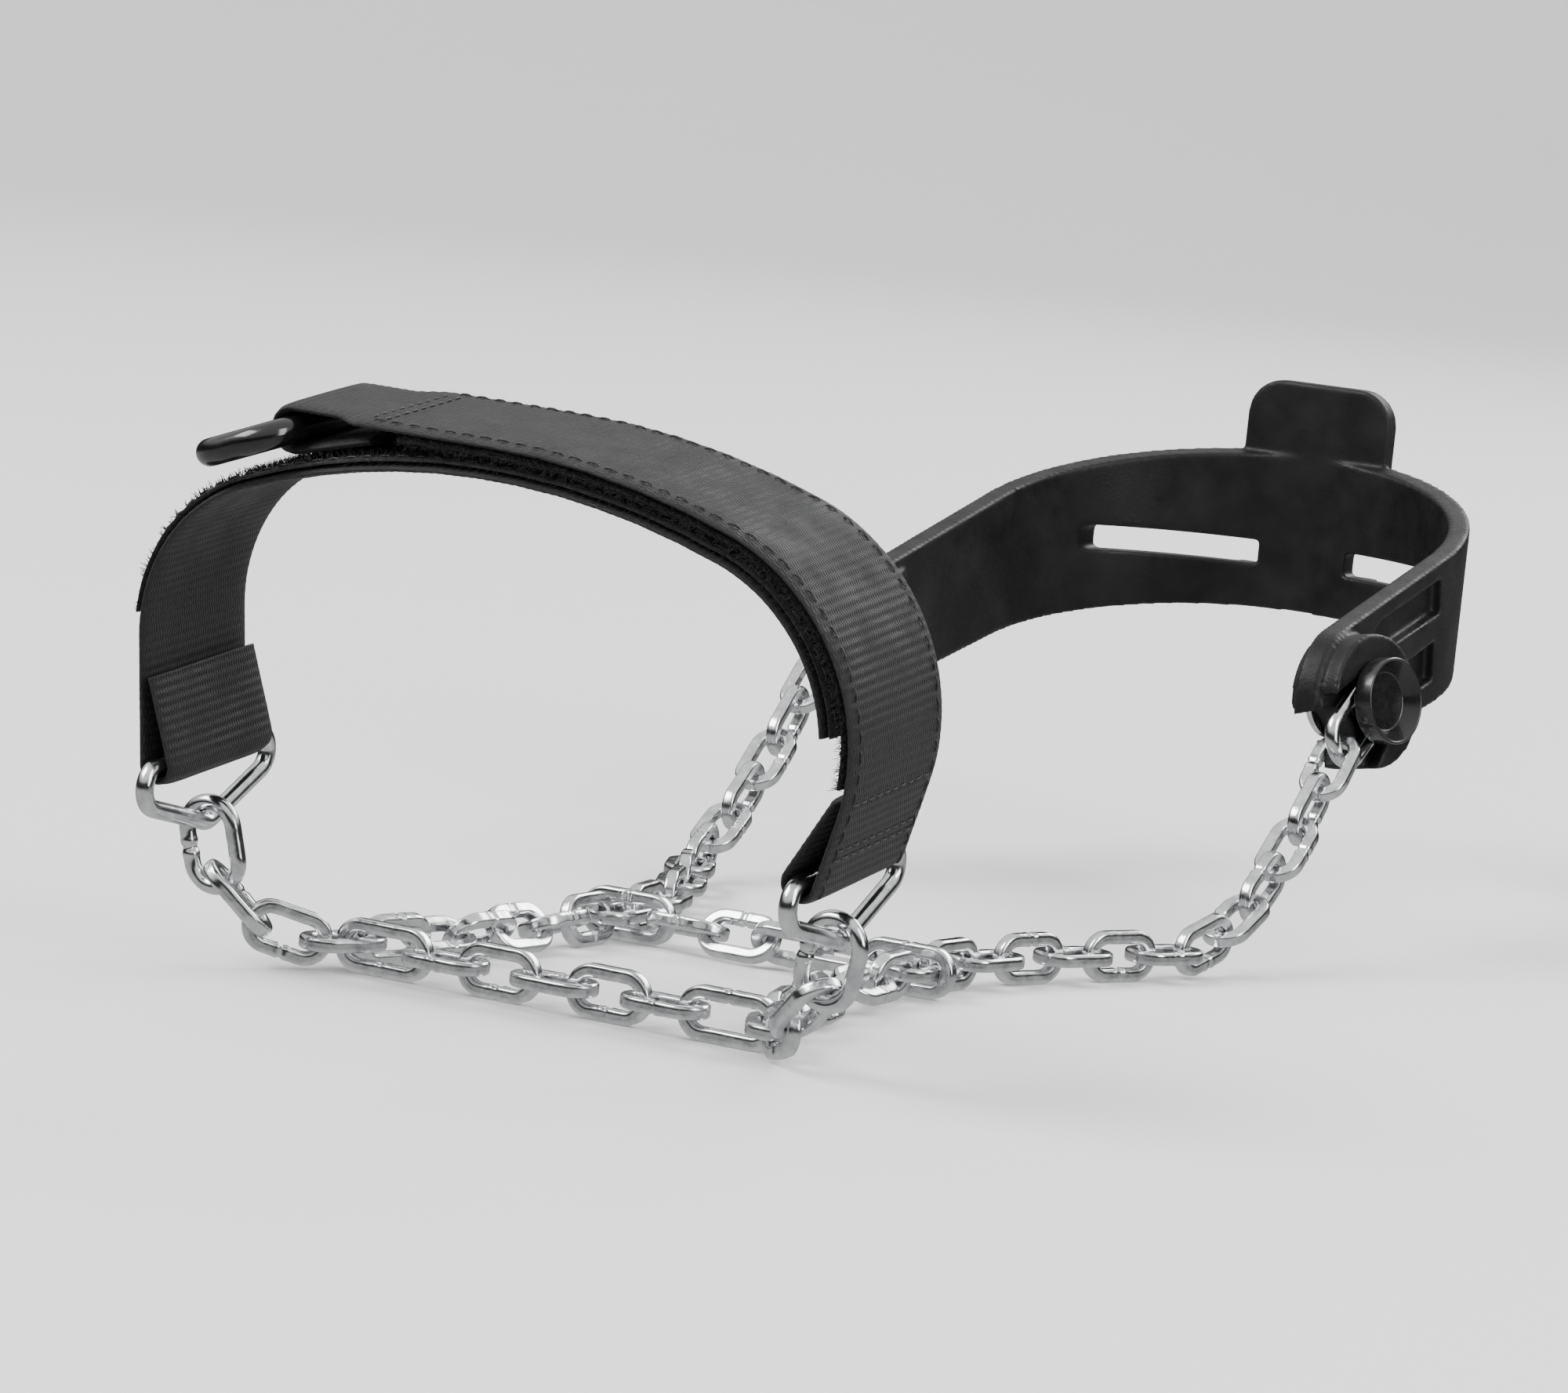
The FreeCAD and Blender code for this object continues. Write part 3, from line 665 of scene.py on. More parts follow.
@dataclass
class Lie:
    """How a solid lies: its middle, its three main directions and its size along each.

    The directions go from the longest spread of surface to the shortest.
    """

    middle: Array
    axes: Array
    spans: Array

    @staticmethod
    def of(points: Array, triangles: Array) -> "Lie":
        """Measure a solid by the spread of its surface.

        Args:
            points: Its points.
            triangles: Its triangles.

        Returns:
            How it lies.
        """
        corners = points[triangles]
        sides = corners[:, 1] - corners[:, 0], corners[:, 2] - corners[:, 0]
        area = np.linalg.norm(np.cross(*sides), axis=1)
        middle = (corners.mean(1) * area[:, None]).sum(0) / area.sum()
        corners = corners - middle
        whole = corners.sum(1)
        spread = np.einsum("t,tki,tkj->ij", area, corners, corners)
        spread += np.einsum("t,ti,tj->ij", area, whole, whole)
        _, vectors = np.linalg.eigh(spread)
        axes = vectors.T[::-1]
        axes[2] = np.cross(axes[0], axes[1])
        reach = (points - middle) @ axes.T
        centre = middle + ((reach.max(0) + reach.min(0)) / 2) @ axes
        return Lie(centre, axes, np.ptp(reach, axis=0))

    def out(self, local: Array) -> Array:
        """Carry local points to where the solid lies."""
        return self.middle + local @ self.axes


# ---------------------------------------------------------------- chain and wire


@dataclass
class LinkMaker:
    """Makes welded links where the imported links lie.

    Attributes:
        edge: The radius of the squared wire's edges.
        seam: How deep the groove at the weld is, as a share of the wire.
        seam_width: How wide the groove is.
        ridge: How far the upset metal beside it stands out, as a share of the wire.
        ridge_place: How far the upset metal is from the weld.
        ridge_width: How wide it is.
        dent: How far the wire wanders from its true shape.
        dent_pace: How fast it wanders, per millimetre.
        rail_steps: How many steps each straight side has.
        bend_steps: How many steps each end has.
    """

    edge: float = 0.5
    seam: float = 0.16
    seam_width: float = 0.3
    ridge: float = 0.07
    ridge_place: float = 0.75
    ridge_width: float = 0.32
    dent: float = 0.022
    dent_pace: float = 0.45
    rail_steps: int = 22
    bend_steps: int = 18

    def path(self, lie: Lie) -> tuple[Array, Array, Array]:
        """The middle line of a link's wire.

        Args:
            lie: How the link lies.

        Returns:
            Points and outward directions in the link's plane, and the distance from the weld.
        """
        wire = lie.spans[2]
        bend, half = (lie.spans[1] - wire) / 2, (lie.spans[0] - lie.spans[1]) / 2
        rail = np.linspace(-half, half, self.rail_steps + 1)
        turns = np.radians(np.linspace(90, -90, self.bend_steps + 2)[1:-1])
        points, outs, gaps = [], [], []
        for sign in (1, -1):
            for x in rail:
                points.append((x * sign, bend * sign))
                outs.append((0, sign))
                gaps.append(x if sign > 0 else math.inf)
            for turn in turns:
                out = (math.cos(turn) * sign, math.sin(turn) * sign)
                points.append((half * sign + out[0] * bend, out[1] * bend))
                outs.append(out)
                gaps.append(math.inf)
        return np.array(points), np.array(outs), np.array(gaps)

    def weld(self, gaps: Array) -> Array:
        """How thick the wire is near its weld, as a share of its true size."""
        groove = self.seam * np.exp(-((gaps / self.seam_width) ** 2))
        beside = (np.abs(gaps) - self.ridge_place) / self.ridge_width
        return 1 - groove + self.ridge * np.exp(-(beside**2))

    def link(self, lie: Lie, squared: bool, rng: random.Random) -> Shell:
        """One link.

        Args:
            lie: How it lies.
            squared: Whether its wire is squared, or else round.
            rng: Where its small differences come from.

        Returns:
            Its points and faces.
        """
        wire = lie.spans[2]
        if rng.random() < 0.5:
            lie = Lie(lie.middle, lie.axes * np.array([[1], [-1], [-1]]), lie.spans)
        path, outs, gaps = self.path(lie)
        if squared:
            section, thick = rounded_square(wire / 2, self.edge), self.weld(gaps)
        else:
            section, thick = round_section(wire / 2), self.weld(gaps * 0.8 + 0.1)
        local = sweep(path, outs, section * thick[:, None, None])
        seed = [rng.random() * 50 for _ in range(3)]
        rings = wander(lie.out(local.reshape(-1, 3)), self.dent_pace, self.dent, seed)
        return skin(rings.reshape(local.shape), True)


@dataclass
class ChainLadder:
    """All the chain: two cross chains, the side runs, the risers and the end links."""

    maker: LinkMaker
    squared_stems: tuple[str, ...] = (
        "front_cross", "rear_cross", "front_junction", "rear_junction", "side_link",
        "front_links", "rear_links", "riser_links",
    )
    round_stems: tuple[str, ...] = ("connector", "heel_link")

    def build(self) -> Iterator[bpy.types.Object]:
        """Make one piece for each chain node."""
        for node in sorted(frame["nodes"]):
            squared = node.startswith(self.squared_stems)
            if not squared and not node.startswith(self.round_stems):
                continue
            rng = random.Random(node)
            links = [self.maker.link(Lie.of(*solid), squared, rng) for solid in islands(node)]
            body = frame["nodes"][node]["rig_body"]
            finish, slot = (Finish.CHAIN, "chain") if squared else (Finish.WIRE, "bright_wire")
            yield Piece(f"{node}_welded", finish, slot, body, [node]).build(joined(links))


# ---------------------------------------------------------------- toe strap


@dataclass(frozen=True)
class Bend:
    """One arc of the strap's path, in the arch's own plane, with its angles in degrees."""

    centre: tuple[float, float]
    radius: float
    first: float
    last: float


@dataclass
class ToeArch:
    """The line that the toe strap follows over the foot.

    Attributes:
        foot: The middle of the line between the rings' lower bends.
        lean: How far the arch leans forward about that line.
        bar: Where the outer ring's bar is, across and up from the foot.
        shoulder: The middle of the outer shoulder bend.
        bend: The radius of the shoulders.
        crown: The middle of the crown, and its radius.
        turn: Where the crown meets the shoulders, from straight up.
        closing: How much further a fold turns, to close on the strap.
        step: The distance between points along a line.
    """

    foot: tuple[float, float, float] = (0.0, -115.151, 22.059)
    lean: float = 8.0
    bar: tuple[float, float] = (49.676, 7.6)
    shoulder: tuple[float, float] = (28.5, 25.5)
    bend: float = 26.0
    crown: tuple[float, float, float] = (0.0, -53.225, 109.725)
    turn: float = 19.901
    closing: float = 14.478
    step: float = 0.2

    def lift(self, points: Array) -> Array:
        """Carry points (across, fore and aft, up) from the arch's plane to the cleat.

        Args:
            points: The points, with the toe towards minus in the second place.

        Returns:
            The points on the cleat.
        """
        return self.aim(points) + np.array(self.foot)

    def aim(self, ways: Array) -> Array:
        """Carry directions (across, fore and aft, up) from the arch's plane to the cleat."""
        turn = math.radians(self.lean)
        back = ways[:, 1] * math.cos(turn) - ways[:, 2] * math.sin(turn)
        up = ways[:, 1] * math.sin(turn) + ways[:, 2] * math.cos(turn)
        return np.stack([ways[:, 0], back, up], 1)

    def bends(self, fold: float, stop: float) -> list[Bend]:
        """The arcs from the inner side of a ring's bar to a place on the arch.

        Args:
            fold: The radius of the fold round the bar.
            stop: The angle where the line ends, on the crown or the far shoulder.

        Returns:
            The arcs, in order.
        """
        run = (self.shoulder[0] - self.bar[0], self.shoulder[1] - self.bar[1])
        base = math.degrees(math.atan2(run[1], run[0]))
        leg = base + math.degrees(math.asin((fold - self.bend) / math.hypot(*run)))
        near, far = 90 - self.turn, 90 + self.turn
        arcs = [
            Bend(self.bar, fold, leg - 270 - self.closing, leg - 90),
            Bend(self.shoulder, self.bend, leg - 90, near),
            Bend(self.crown[:2], self.crown[2], near, min(stop, far)),
        ]
        if stop > far:
            arcs.append(Bend((-self.shoulder[0], self.shoulder[1]), self.bend, far, stop))
        return arcs

    @staticmethod
    def beyond(end: tuple[float, float], angle: float, length: float) -> tuple[float, float]:
        """A point on straight past the end of an arc.

        Args:
            end: The arc's end.
            angle: The arc's angle there.
            length: How far past it the point is, or less than 0 before a start.

        Returns:
            The point.
        """
        way = math.radians(angle + 90)
        return end[0] + math.cos(way) * length, end[1] + math.sin(way) * length

    def line(
        self, arcs: Sequence[Bend], offset: float, tail: float = 0.0, run: float = 0.0,
        mirrored: bool = False,
    ) -> Array:
        """Even points along arcs and the straight runs between them.

        Args:
            arcs: The arcs.
            offset: How far outside them the line runs.
            tail: The length of a straight start.
            run: The length of a straight end.
            mirrored: Whether the line starts on the inner side of the foot.

        Returns:
            The points in the arch's plane, across and up.
        """
        points: list[tuple[float, float]] = []
        for arc in arcs:
            reach = arc.radius + offset
            count = max(3, int(abs(arc.last - arc.first) / 3))
            for way in np.radians(np.linspace(arc.first, arc.last, count)):
                points.append((
                    arc.centre[0] + reach * math.cos(way),
                    arc.centre[1] + reach * math.sin(way),
                ))
        if tail:
            points.insert(0, self.beyond(points[0], arcs[0].first, -tail))
        if run:
            points.append(self.beyond(points[-1], arcs[-1].last, run))
        rough = np.array(points)
        if mirrored:
            rough[:, 0] *= -1
        rough = rough[np.r_[True, np.diff(lengths(rough)) > 1e-4]]
        return evenly(rough, int(lengths(rough)[-1] / self.step) + 1)


class Growth(Enum):
    """Where fibres grow on a layer."""

    OUTER_FACE = 1
    INNER_FACE = -1
    EDGES = 0


@dataclass
class Layer:
    """One layer of the strap along a line in the arch's plane.

    Attributes:
        arch: The arch that the line is in.
        line: The middle line of the layer, evenly spaced.
        outward: 1 where the outer face is on the left of the line, or else -1.
        width: The strap's width.
        thick: The layer's thickness.
        rib: The distance between the crosswise ribs, or 0 for none.
        rib_height: How high the ribs stand.
        rough: How uneven the faces are.
        rough_pace: How fast they change, per millimetre.
        narrow: Where the strap starts and ends to narrow, and to what width.
        across_steps: How many steps there are across a face.
        edge_fade: How near an edge the ribs fade, as a share of half the width.
        stitch_rise: How high a stitch stands at each point along it.
    """

    arch: ToeArch
    line: Array
    outward: int
    width: float
    thick: float
    rib: float = 0.0
    rib_height: float = 0.055
    rough: float = 0.03
    rough_pace: float = 0.22
    narrow: tuple[float, float, float] | None = None
    across_steps: int = 30
    edge_fade: float = 0.08
    stitch_rise: tuple[float, ...] = (-0.25, 0.02, 0.07, 0.07, 0.02, -0.25)

    def __post_init__(self) -> None:
        """Work out the directions along the line."""
        ahead = np.gradient(self.line, axis=0)
        window = np.ones(5) / 5
        padded = np.pad(ahead, ((2, 2), (0, 0)), mode="edge")
        ahead = np.stack([np.convolve(padded[:, k], window, "valid") for k in (0, 1)], 1)
        ahead /= np.linalg.norm(ahead, axis=1)[:, None]
        self.normal = np.stack([-ahead[:, 1], ahead[:, 0]], 1) * self.outward
        self.along = lengths(self.line)

    def halves(self) -> Array:
        """Half of the width at each place along the line."""
        half = np.full(len(self.line), self.width / 2)
        if self.narrow:
            start, end, small = self.narrow
            mid = np.clip((self.along - start) / (end - start), 0, 1)
            half += (small / 2 - half) * (mid * mid * (3 - 2 * mid))
        return half

    def point(self, place: Array, across: Array, height: Array) -> Array:
        """Points on or near the layer.

        Args:
            place: Indices along the line.
            across: Distances across the strap from its middle.
            height: Distances outward from the middle of its thickness.

        Returns:
            The points on the cleat.
        """
        flat = self.line[place] + self.normal[place] * height[..., None]
        return self.arch.lift(np.stack([flat[:, 0], across, flat[:, 1]], 1))

    def mesh(self) -> Shell:
        """The layer as a closed solid with ribs, rolled edges and cut ends."""
        places = np.arange(len(self.line))
        shares = np.sin(np.linspace(-math.pi / 2, math.pi / 2, self.across_steps + 1))
        shares = np.sign(shares) * np.abs(shares) ** 0.8
        edge = np.sqrt(np.clip(1 - np.abs(shares) ** 9, 0, 1))
        fade = np.clip((1 - np.abs(shares)) / self.edge_fade, 0, 1)
        rings, spread = [], []
        half = self.halves()
        for face, order in ((1, slice(None)), (-1, slice(None, None, -1))):
            for k in range(self.across_steps + 1)[order]:
                if face < 0 and k in (0, self.across_steps):
                    continue
                height = np.full(len(places), self.thick / 2 * edge[k])
                if self.rib:
                    phase = 0 if face > 0 else math.pi
                    wave = np.cos(self.along * 2 * math.pi / self.rib + phase)
                    height = height + (wave - 1) * self.rib_height * fade[k]
                rings.append(self.point(places, half * shares[k], height * face))
                spread.append(half * shares[k])
        grid = np.stack(rings, 1)
        along = np.broadcast_to(self.along[:, None], grid.shape[:2])
        self.spots = np.stack([along, np.stack(spread, 1)], 2).reshape(-1, 2)
        flat = wander(grid.reshape(-1, 3), self.rough_pace, self.rough)
        return skin(flat.reshape(grid.shape), False)

    def map_weave(self, thing: bpy.types.Object) -> bpy.types.Object:
        """Lay the weave's map over the strap, in metres along and across.

        Args:
            thing: The strap that was built from this layer's mesh.

        Returns:
            The same object.
        """
        corners = np.empty(len(thing.data.loops), int)
        thing.data.loops.foreach_get("vertex_index", corners)
        layer = thing.data.uv_layers.new(name=WEAVE_MAP)
        layer.data.foreach_set("uv", (self.spots[corners] * MM).ravel())
        return thing

    def stitches(
        self, across: float, start: float, end: float, thread: float = 0.13,
        pitch: float = 2.7, bite: float = 2.1,
    ) -> Shell:
        """A row of stitches along the strap's outer face.

        Args:
            across: Where the row is across the strap.
            start: Where it starts along the line.
            end: Where it ends.
            thread: The thread's radius.
            pitch: The distance from stitch to stitch.
            bite: The length of thread that shows.

        Returns:
            The points and faces of the row.
        """
        shells = []
        count = len(self.stitch_rise)
        for at in np.arange(start, end, pitch):
            spots = np.linspace(at, at + bite, count)
            place = np.clip((spots / self.arch.step).astype(int), 0, len(self.line) - 1)
            shells.append(self.stitch(place, np.full(count, across), thread))
        return joined(shells)

    def cross_stitches(
        self, at: float, span: float, thread: float = 0.14, pitch: float = 2.1, bite: float = 1.6,
    ) -> Shell:
        """A row of stitches across the strap's outer face.

        Args:
            at: Where the row is along the line.
            span: How much of the width it covers.
            thread: The thread's radius.
            pitch: The distance from stitch to stitch.
            bite: The length of thread that shows.

        Returns:
            The points and faces of the row.
        """
        count = len(self.stitch_rise)
        place = np.full(count, int(at / self.arch.step))
        starts = np.arange(-span / 2, span / 2 - bite, pitch)
        return joined([
            self.stitch(place, np.linspace(start, start + bite, count), thread) for start in starts
        ])

    def stitch(self, place: Array, across: Array, radius: float) -> Shell:
        """One stitch on the strap's outer face.

        Args:
            place: Indices along the line.
            across: Distances across the strap.
            radius: The thread's radius.

        Returns:
            Its points and faces.
        """
        middle = self.point(place, across, self.thick / 2 + np.array(self.stitch_rise))
        ahead = np.gradient(middle, axis=0)
        ahead /= np.linalg.norm(ahead, axis=1)[:, None]
        normal = self.normal[place]
        out = self.arch.aim(np.stack([normal[:, 0], np.zeros(len(place)), normal[:, 1]], 1))
        side = np.cross(ahead, out)
        ring = round_section(radius, 6)
        rings = middle[:, None] + out[:, None] * ring[:, :1] + side[:, None] * ring[:, 1:]
        return skin(rings, False)

    def root(self, rng: random.Random, growth: Growth, half: Array) -> tuple[Array, Array]:
        """Where a fibre grows, and which way.

        Args:
            rng: Where its differences come from.
            growth: The part of the layer that it grows on.
            half: Half of the layer's width at each place.

        Returns:
            Its root and its direction, in the arch's plane.
        """
        place = int(rng.random() * (len(self.line) - 1))
        out = self.normal[place]
        if growth is Growth.EDGES:
            sign = -1 if rng.random() < 0.6 else 1
            across = half[place] * sign * 0.985
            height = rng.uniform(-1, 1) * self.thick / 2
            fan = rng.uniform(-0.7, 0.7), rng.uniform(-0.7, 0.7)
            lean = np.array([out[0] * fan[0], float(sign), out[1] * fan[1]])
        else:
            face = growth.value
            across = rng.uniform(-1, 1) * half[place] * 0.96
            height = self.thick / 2 * face
            lean = np.array([out[0] * face, rng.uniform(-0.35, 0.35), out[1] * face])
        lean += np.array([-out[1], 0, out[0]]) * rng.uniform(-0.6, 0.6)
        flat = self.line[place] + out * height
        return np.array([flat[0], across, flat[1]]), lean / np.linalg.norm(lean)

    def fibres(
        self, rng: random.Random, count: int, growth: Growth, length: tuple[float, float],
        radius: float,
    ) -> Shell:
        """Many short bent fibres that grow from the layer.

        Args:
            rng: Where their differences come from.
            count: How many there are.
            growth: The part of the layer that they grow on.
            length: The shortest and the longest.
            radius: Their radius at the root.

        Returns:
            The points and faces of all fibres.
        """
        shells = []
        half = self.halves()
        shares = np.array([-0.1, 0.4, 0.75, 1.0])
        thin = radius * np.array([1.0, 0.9, 0.7, 0.35])
        section = round_section(1.0, 3)
        for _ in range(count):
            root, lean = self.root(rng, growth, half)
            reach = rng.uniform(*length)
            curl = np.array([rng.uniform(-1, 1) for _ in range(3)]) * reach * 0.35
            spine = root + lean * reach * shares[:, None] + curl * (shares**2)[:, None]
            away = np.cross(lean, [0.3, 0.5, 0.8])
            away /= np.linalg.norm(away)
            ring = section[:, :1] * away + section[:, 1:] * np.cross(lean, away)
            rings = spine[:, None] + thin[:, None, None] * ring
            lifted = self.arch.lift(rings.reshape(-1, 3))
            shells.append(skin(lifted.reshape(rings.shape), False))
        return joined(shells)


@dataclass
class ToeStrap:
    """The two-part strap over the toes, with its fastener and its sewing.

    Attributes:
        arch: The arch that the strap follows.
        width: The webbing's width.
        webbing: Its thickness.
        pile: The thickness of the pile inside the outer strap.
        tape: The height of the hook tape on the inner strap, bristles included.
        backing: The thickness of the hook tape without its bristles.
        layer_gap: The gap between a strap and what is sewn on it.
        fastener_gap: The gap between pile and hooks.
        wrap: The inner radius of the fold round a ring's bar.
        pull_wrap: The inner radius of the fold round the finger ring.
        leave: Where the free end leaves the crown, as an angle.
        free_run: The length of the free end.
        tail: The length of webbing that is sewn down after a fold.
        tongue: The width of the webbing in the finger ring.
        inner_stop: Where the inner strap ends, as an angle.
        rib: The distance between the webbing's ribs.
        sewn: How far past a fold's tail the first seam is.
        fold_radius: The radius of the fold round the finger ring, on its outer face.
        fold_lead: How far before that fold the strap starts to narrow.
    """

    arch: ToeArch
    width: float = 25.0
    webbing: float = 1.4
    pile: float = 1.0
    tape: float = 1.3
    backing: float = 0.7
    layer_gap: float = 0.1
    fastener_gap: float = 0.3
    wrap: float = 1.55
    pull_wrap: float = 2.2
    leave: float = 89.0
    free_run: float = 32.0
    tail: float = 12.0
    tongue: float = 19.6
    inner_stop: float = 176.0
    rib: float = 1.25
    sewn: float = 4.5
    fold_radius: float = 3.4
    fold_lead: float = 9.0

    def build(self) -> Iterator[bpy.types.Object]:
        """Make the four layers and their sewing."""
        yield from self.outer(self.fastener_gap / 2 + self.pile + self.layer_gap)
        yield from self.inner(-self.fastener_gap / 2 - self.tape - self.layer_gap - self.webbing)

    def clear_of_fold(self, arcs: Sequence[Bend]) -> list[Bend]:
        """The arcs past the fold, starting a little above it."""
        first = arcs[1]
        return [Bend(first.centre, first.radius, first.first + 8, first.last), *arcs[2:]]

    def fold_of_pull(self, low: float) -> Bend:
        """The arc that the free end makes round the finger ring.

        Args:
            low: How far outside the arch line the strap's inner face is.

        Returns:
            The arc.
        """
        arch, way = self.arch, math.radians(self.leave)
        out, on = (math.cos(way), math.sin(way)), (-math.sin(way), math.cos(way))
        drop = self.pull_wrap - low
        rise = arch.crown[2] - drop
        pull = (
            arch.crown[0] + out[0] * rise + on[0] * self.free_run,
            arch.crown[1] + out[1] * rise + on[1] * self.free_run,
        )
        return Bend(pull, drop, self.leave, self.leave + 180 + arch.closing)

    def outer(self, low: float) -> Iterator[bpy.types.Object]:
        """Make the outer strap, its pile and its stitches.

        Args:
            low: How far outside the arch line its inner face is.
        """
        arch = self.arch
        bends = arch.bends(self.wrap - low, self.leave)
        arcs = [*bends, self.fold_of_pull(low)]
        line = arch.line(arcs, low + self.webbing / 2, self.tail, self.tail)
        length = len(line) * arch.step
        fold = length - self.tail - self.fold_radius * math.pi - self.fold_lead
        layer = Layer(
            arch, line, -1, self.width, self.webbing, self.rib,
            narrow=(fold - 2, fold + 3, self.tongue),
        )
        strap = Piece(
            "outer_strap_webbing", Finish.WEBBING, "webbing", "outer_strap", ["outer_strap"],
        )
        yield layer.map_weave(strap.build(layer.mesh()))
        first, side = self.tail + self.sewn, self.width / 2 - 2.0
        rows = [layer.stitches(across, first + 2, fold - 3) for across in (-side, side)]
        rows += [layer.cross_stitches(first + past, self.width - 4) for past in (7.5, 9.0, 15.5)]
        rows += [layer.cross_stitches(fold - short, self.width - 5) for short in (3.0, 5.0)]
        sewing = Piece("outer_strap_stitches", Finish.THREAD, "webbing", "outer_strap")
        yield sewing.build(joined(rows))
        middle = self.fastener_gap / 2 + self.pile / 2
        reach = self.free_run - self.tail - 6
        pile_line = arch.line(self.clear_of_fold(bends), middle, 0, reach)
        pile = Layer(arch, pile_line, -1, self.width - 1.0, self.pile, rough=0.16)
        rng = random.Random("pile")
        fluff = Piece(
            "strap_pile_fluff", Finish.FLUFF, "fastener", "outer_strap", ["strap_pile_lining"],
        )
        yield fluff.build(joined([
            pile.mesh(),
            pile.fibres(rng, 3400, Growth.EDGES, (0.35, 1.25), 0.05),
            pile.fibres(rng, 1500, Growth.INNER_FACE, (0.2, 0.5), 0.05),
        ]))

    def inner(self, low: float) -> Iterator[bpy.types.Object]:
        """Make the inner strap, its hook tape and its stitches.

        Args:
            low: How far outside the arch line its inner face is.
        """
        arch = self.arch
        arcs = arch.bends(self.wrap - low, self.inner_stop)
        line = arch.line(arcs, low + self.webbing / 2, self.tail, mirrored=True)
        layer = Layer(arch, line, 1, self.width, self.webbing, self.rib)
        strap = Piece(
            "inner_strap_webbing", Finish.WEBBING, "webbing", "inner_strap", ["inner_strap"],
        )
        yield layer.map_weave(strap.build(layer.mesh()))
        middle = -self.fastener_gap / 2 - self.tape + self.backing / 2
        tape_line = arch.line(self.clear_of_fold(arcs), middle, mirrored=True)
        tape = Layer(arch, tape_line, 1, self.width - 1.0, self.backing, rough=0.06)
        rng = random.Random("hooks")
        hooks = Piece(
            "strap_hook_bristles", Finish.HOOKS, "fastener", "inner_strap", ["strap_hook_tape"],
        )
        yield hooks.build(joined([
            tape.mesh(),
            tape.fibres(rng, 5200, Growth.OUTER_FACE, (0.6, 0.95), 0.075),
            tape.fibres(rng, 500, Growth.EDGES, (0.3, 0.8), 0.05),
        ]))
        first, side = self.tail + self.sewn, self.width / 2 - 1.6
        end = len(line) * arch.step - first - 8
        rows = [tape.stitches(across, 1.0, end, thread=0.16) for across in (-side, side)]
        rows += [layer.cross_stitches(first + past, self.width - 4) for past in (6.0, 7.5)]
        sewing = Piece("inner_strap_stitches", Finish.THREAD, "webbing", "inner_strap")
        yield sewing.build(joined(rows))


# ---------------------------------------------------------------- rings


@dataclass
class TriangleRings:
    """The two bent wire rings that carry the toe strap.

    Attributes:
        arch: The arch that the rings lie in.
        wire: The wire's width.
        corner: The radius of the wire's middle line in the upper corners.
        hole: The inner length of the bar that the strap goes round.
        rise: How high the bar is over the lower bend.
        foot_bend: The radius of the wire's middle line in the lower bend.
        steps: How many points the wire has along its middle line.
        node: What the nodes' names start with.
    """

    arch: ToeArch
    wire: float = 2.5
    corner: float = 3.0
    hole: float = 27.0
    rise: float = 7.6
    foot_bend: float = 2.7
    steps: int = 189
    node: str = "triangle_ring"

    def path(self) -> Array:
        """The middle line of the wire, fore and aft and up, from the ring's lower bend."""
        reach = (self.hole + self.wire) / 2 - self.corner
        high = self.rise - self.corner
        circles = [
            (0.0, 0.0, self.foot_bend), (reach, high, self.corner), (-reach, high, self.corner),
        ]
        points, angles = [], []
        for index, (x1, y1, r1) in enumerate(circles):
            x2, y2, r2 = circles[(index + 1) % 3]
            lean = math.asin((r1 - r2) / math.hypot(x2 - x1, y2 - y1))
            angles.append(math.degrees(math.atan2(y2 - y1, x2 - x1) + lean))
        for index, (x, y, radius) in enumerate(circles):
            first, last = angles[index - 1] - 90, angles[index] - 90
            while last < first:
                last += 360
            for way in np.radians(np.linspace(first, last, 16)):
                points.append((x + radius * math.cos(way), y + radius * math.sin(way)))
        return evenly(np.array(points + points[:1]), self.steps + 1)[:-1]

    def build(self) -> Iterator[bpy.types.Object]:
        """Make both rings."""
        path = self.path()
        wire = np.roll(sweep(path, outward(path), round_section(self.wire / 2, 24)), 1, 2)
        for side, sign in (("lateral", 1), ("medial", -1)):
            rings = wire + [self.arch.bar[0] * sign, 0, 0]
            placed = self.arch.lift(rings.reshape(-1, 3)).reshape(rings.shape)
            node = f"{self.node}_{side}"
            body = frame["nodes"][node]["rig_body"]
            ring = Piece(f"{node}_wire", Finish.WIRE, "bright_wire", body, [node])
            yield ring.build(skin(placed, True))


@dataclass
class FingerRing:
    """The moulded ring at the strap's free end.

    Attributes:
        wire: How thick the ring is.
        corner: The radius of its middle line in the corners.
        steps: How many points it has along its middle line.
        node: The node that it stands for.
    """

    wire: float = 3.8
    corner: float = 4.7
    steps: int = 200
    node: str = "finger_ring"

    def build(self) -> Iterator[bpy.types.Object]:
        """Make the ring."""
        lie = Lie.of(*islands(self.node)[0])
        half_x, half_y = (lie.spans[:2] - self.wire) / 2 - self.corner
        points = []
        for quarter, (x, y) in enumerate(((1, 1), (-1, 1), (-1, -1), (1, -1))):
            for way in np.radians(90 * quarter + np.linspace(0, 90, 19)):
                points.append((
                    x * half_x + math.cos(way) * self.corner,
                    y * half_y + math.sin(way) * self.corner,
                ))
        path = evenly(np.array(points + points[:1]), self.steps + 1)[:-1]
        local = sweep(path, outward(path), round_section(self.wire / 2, 28))
        rings = lie.out(local.reshape(-1, 3)).reshape(local.shape)
        body = frame["nodes"][self.node]["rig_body"]
        ring = Piece("finger_ring_moulded", Finish.RING, "ring_plastic", body, [self.node])
        yield ring.build(skin(rings, True))


# ---------------------------------------------------------------- heel sling and rivets


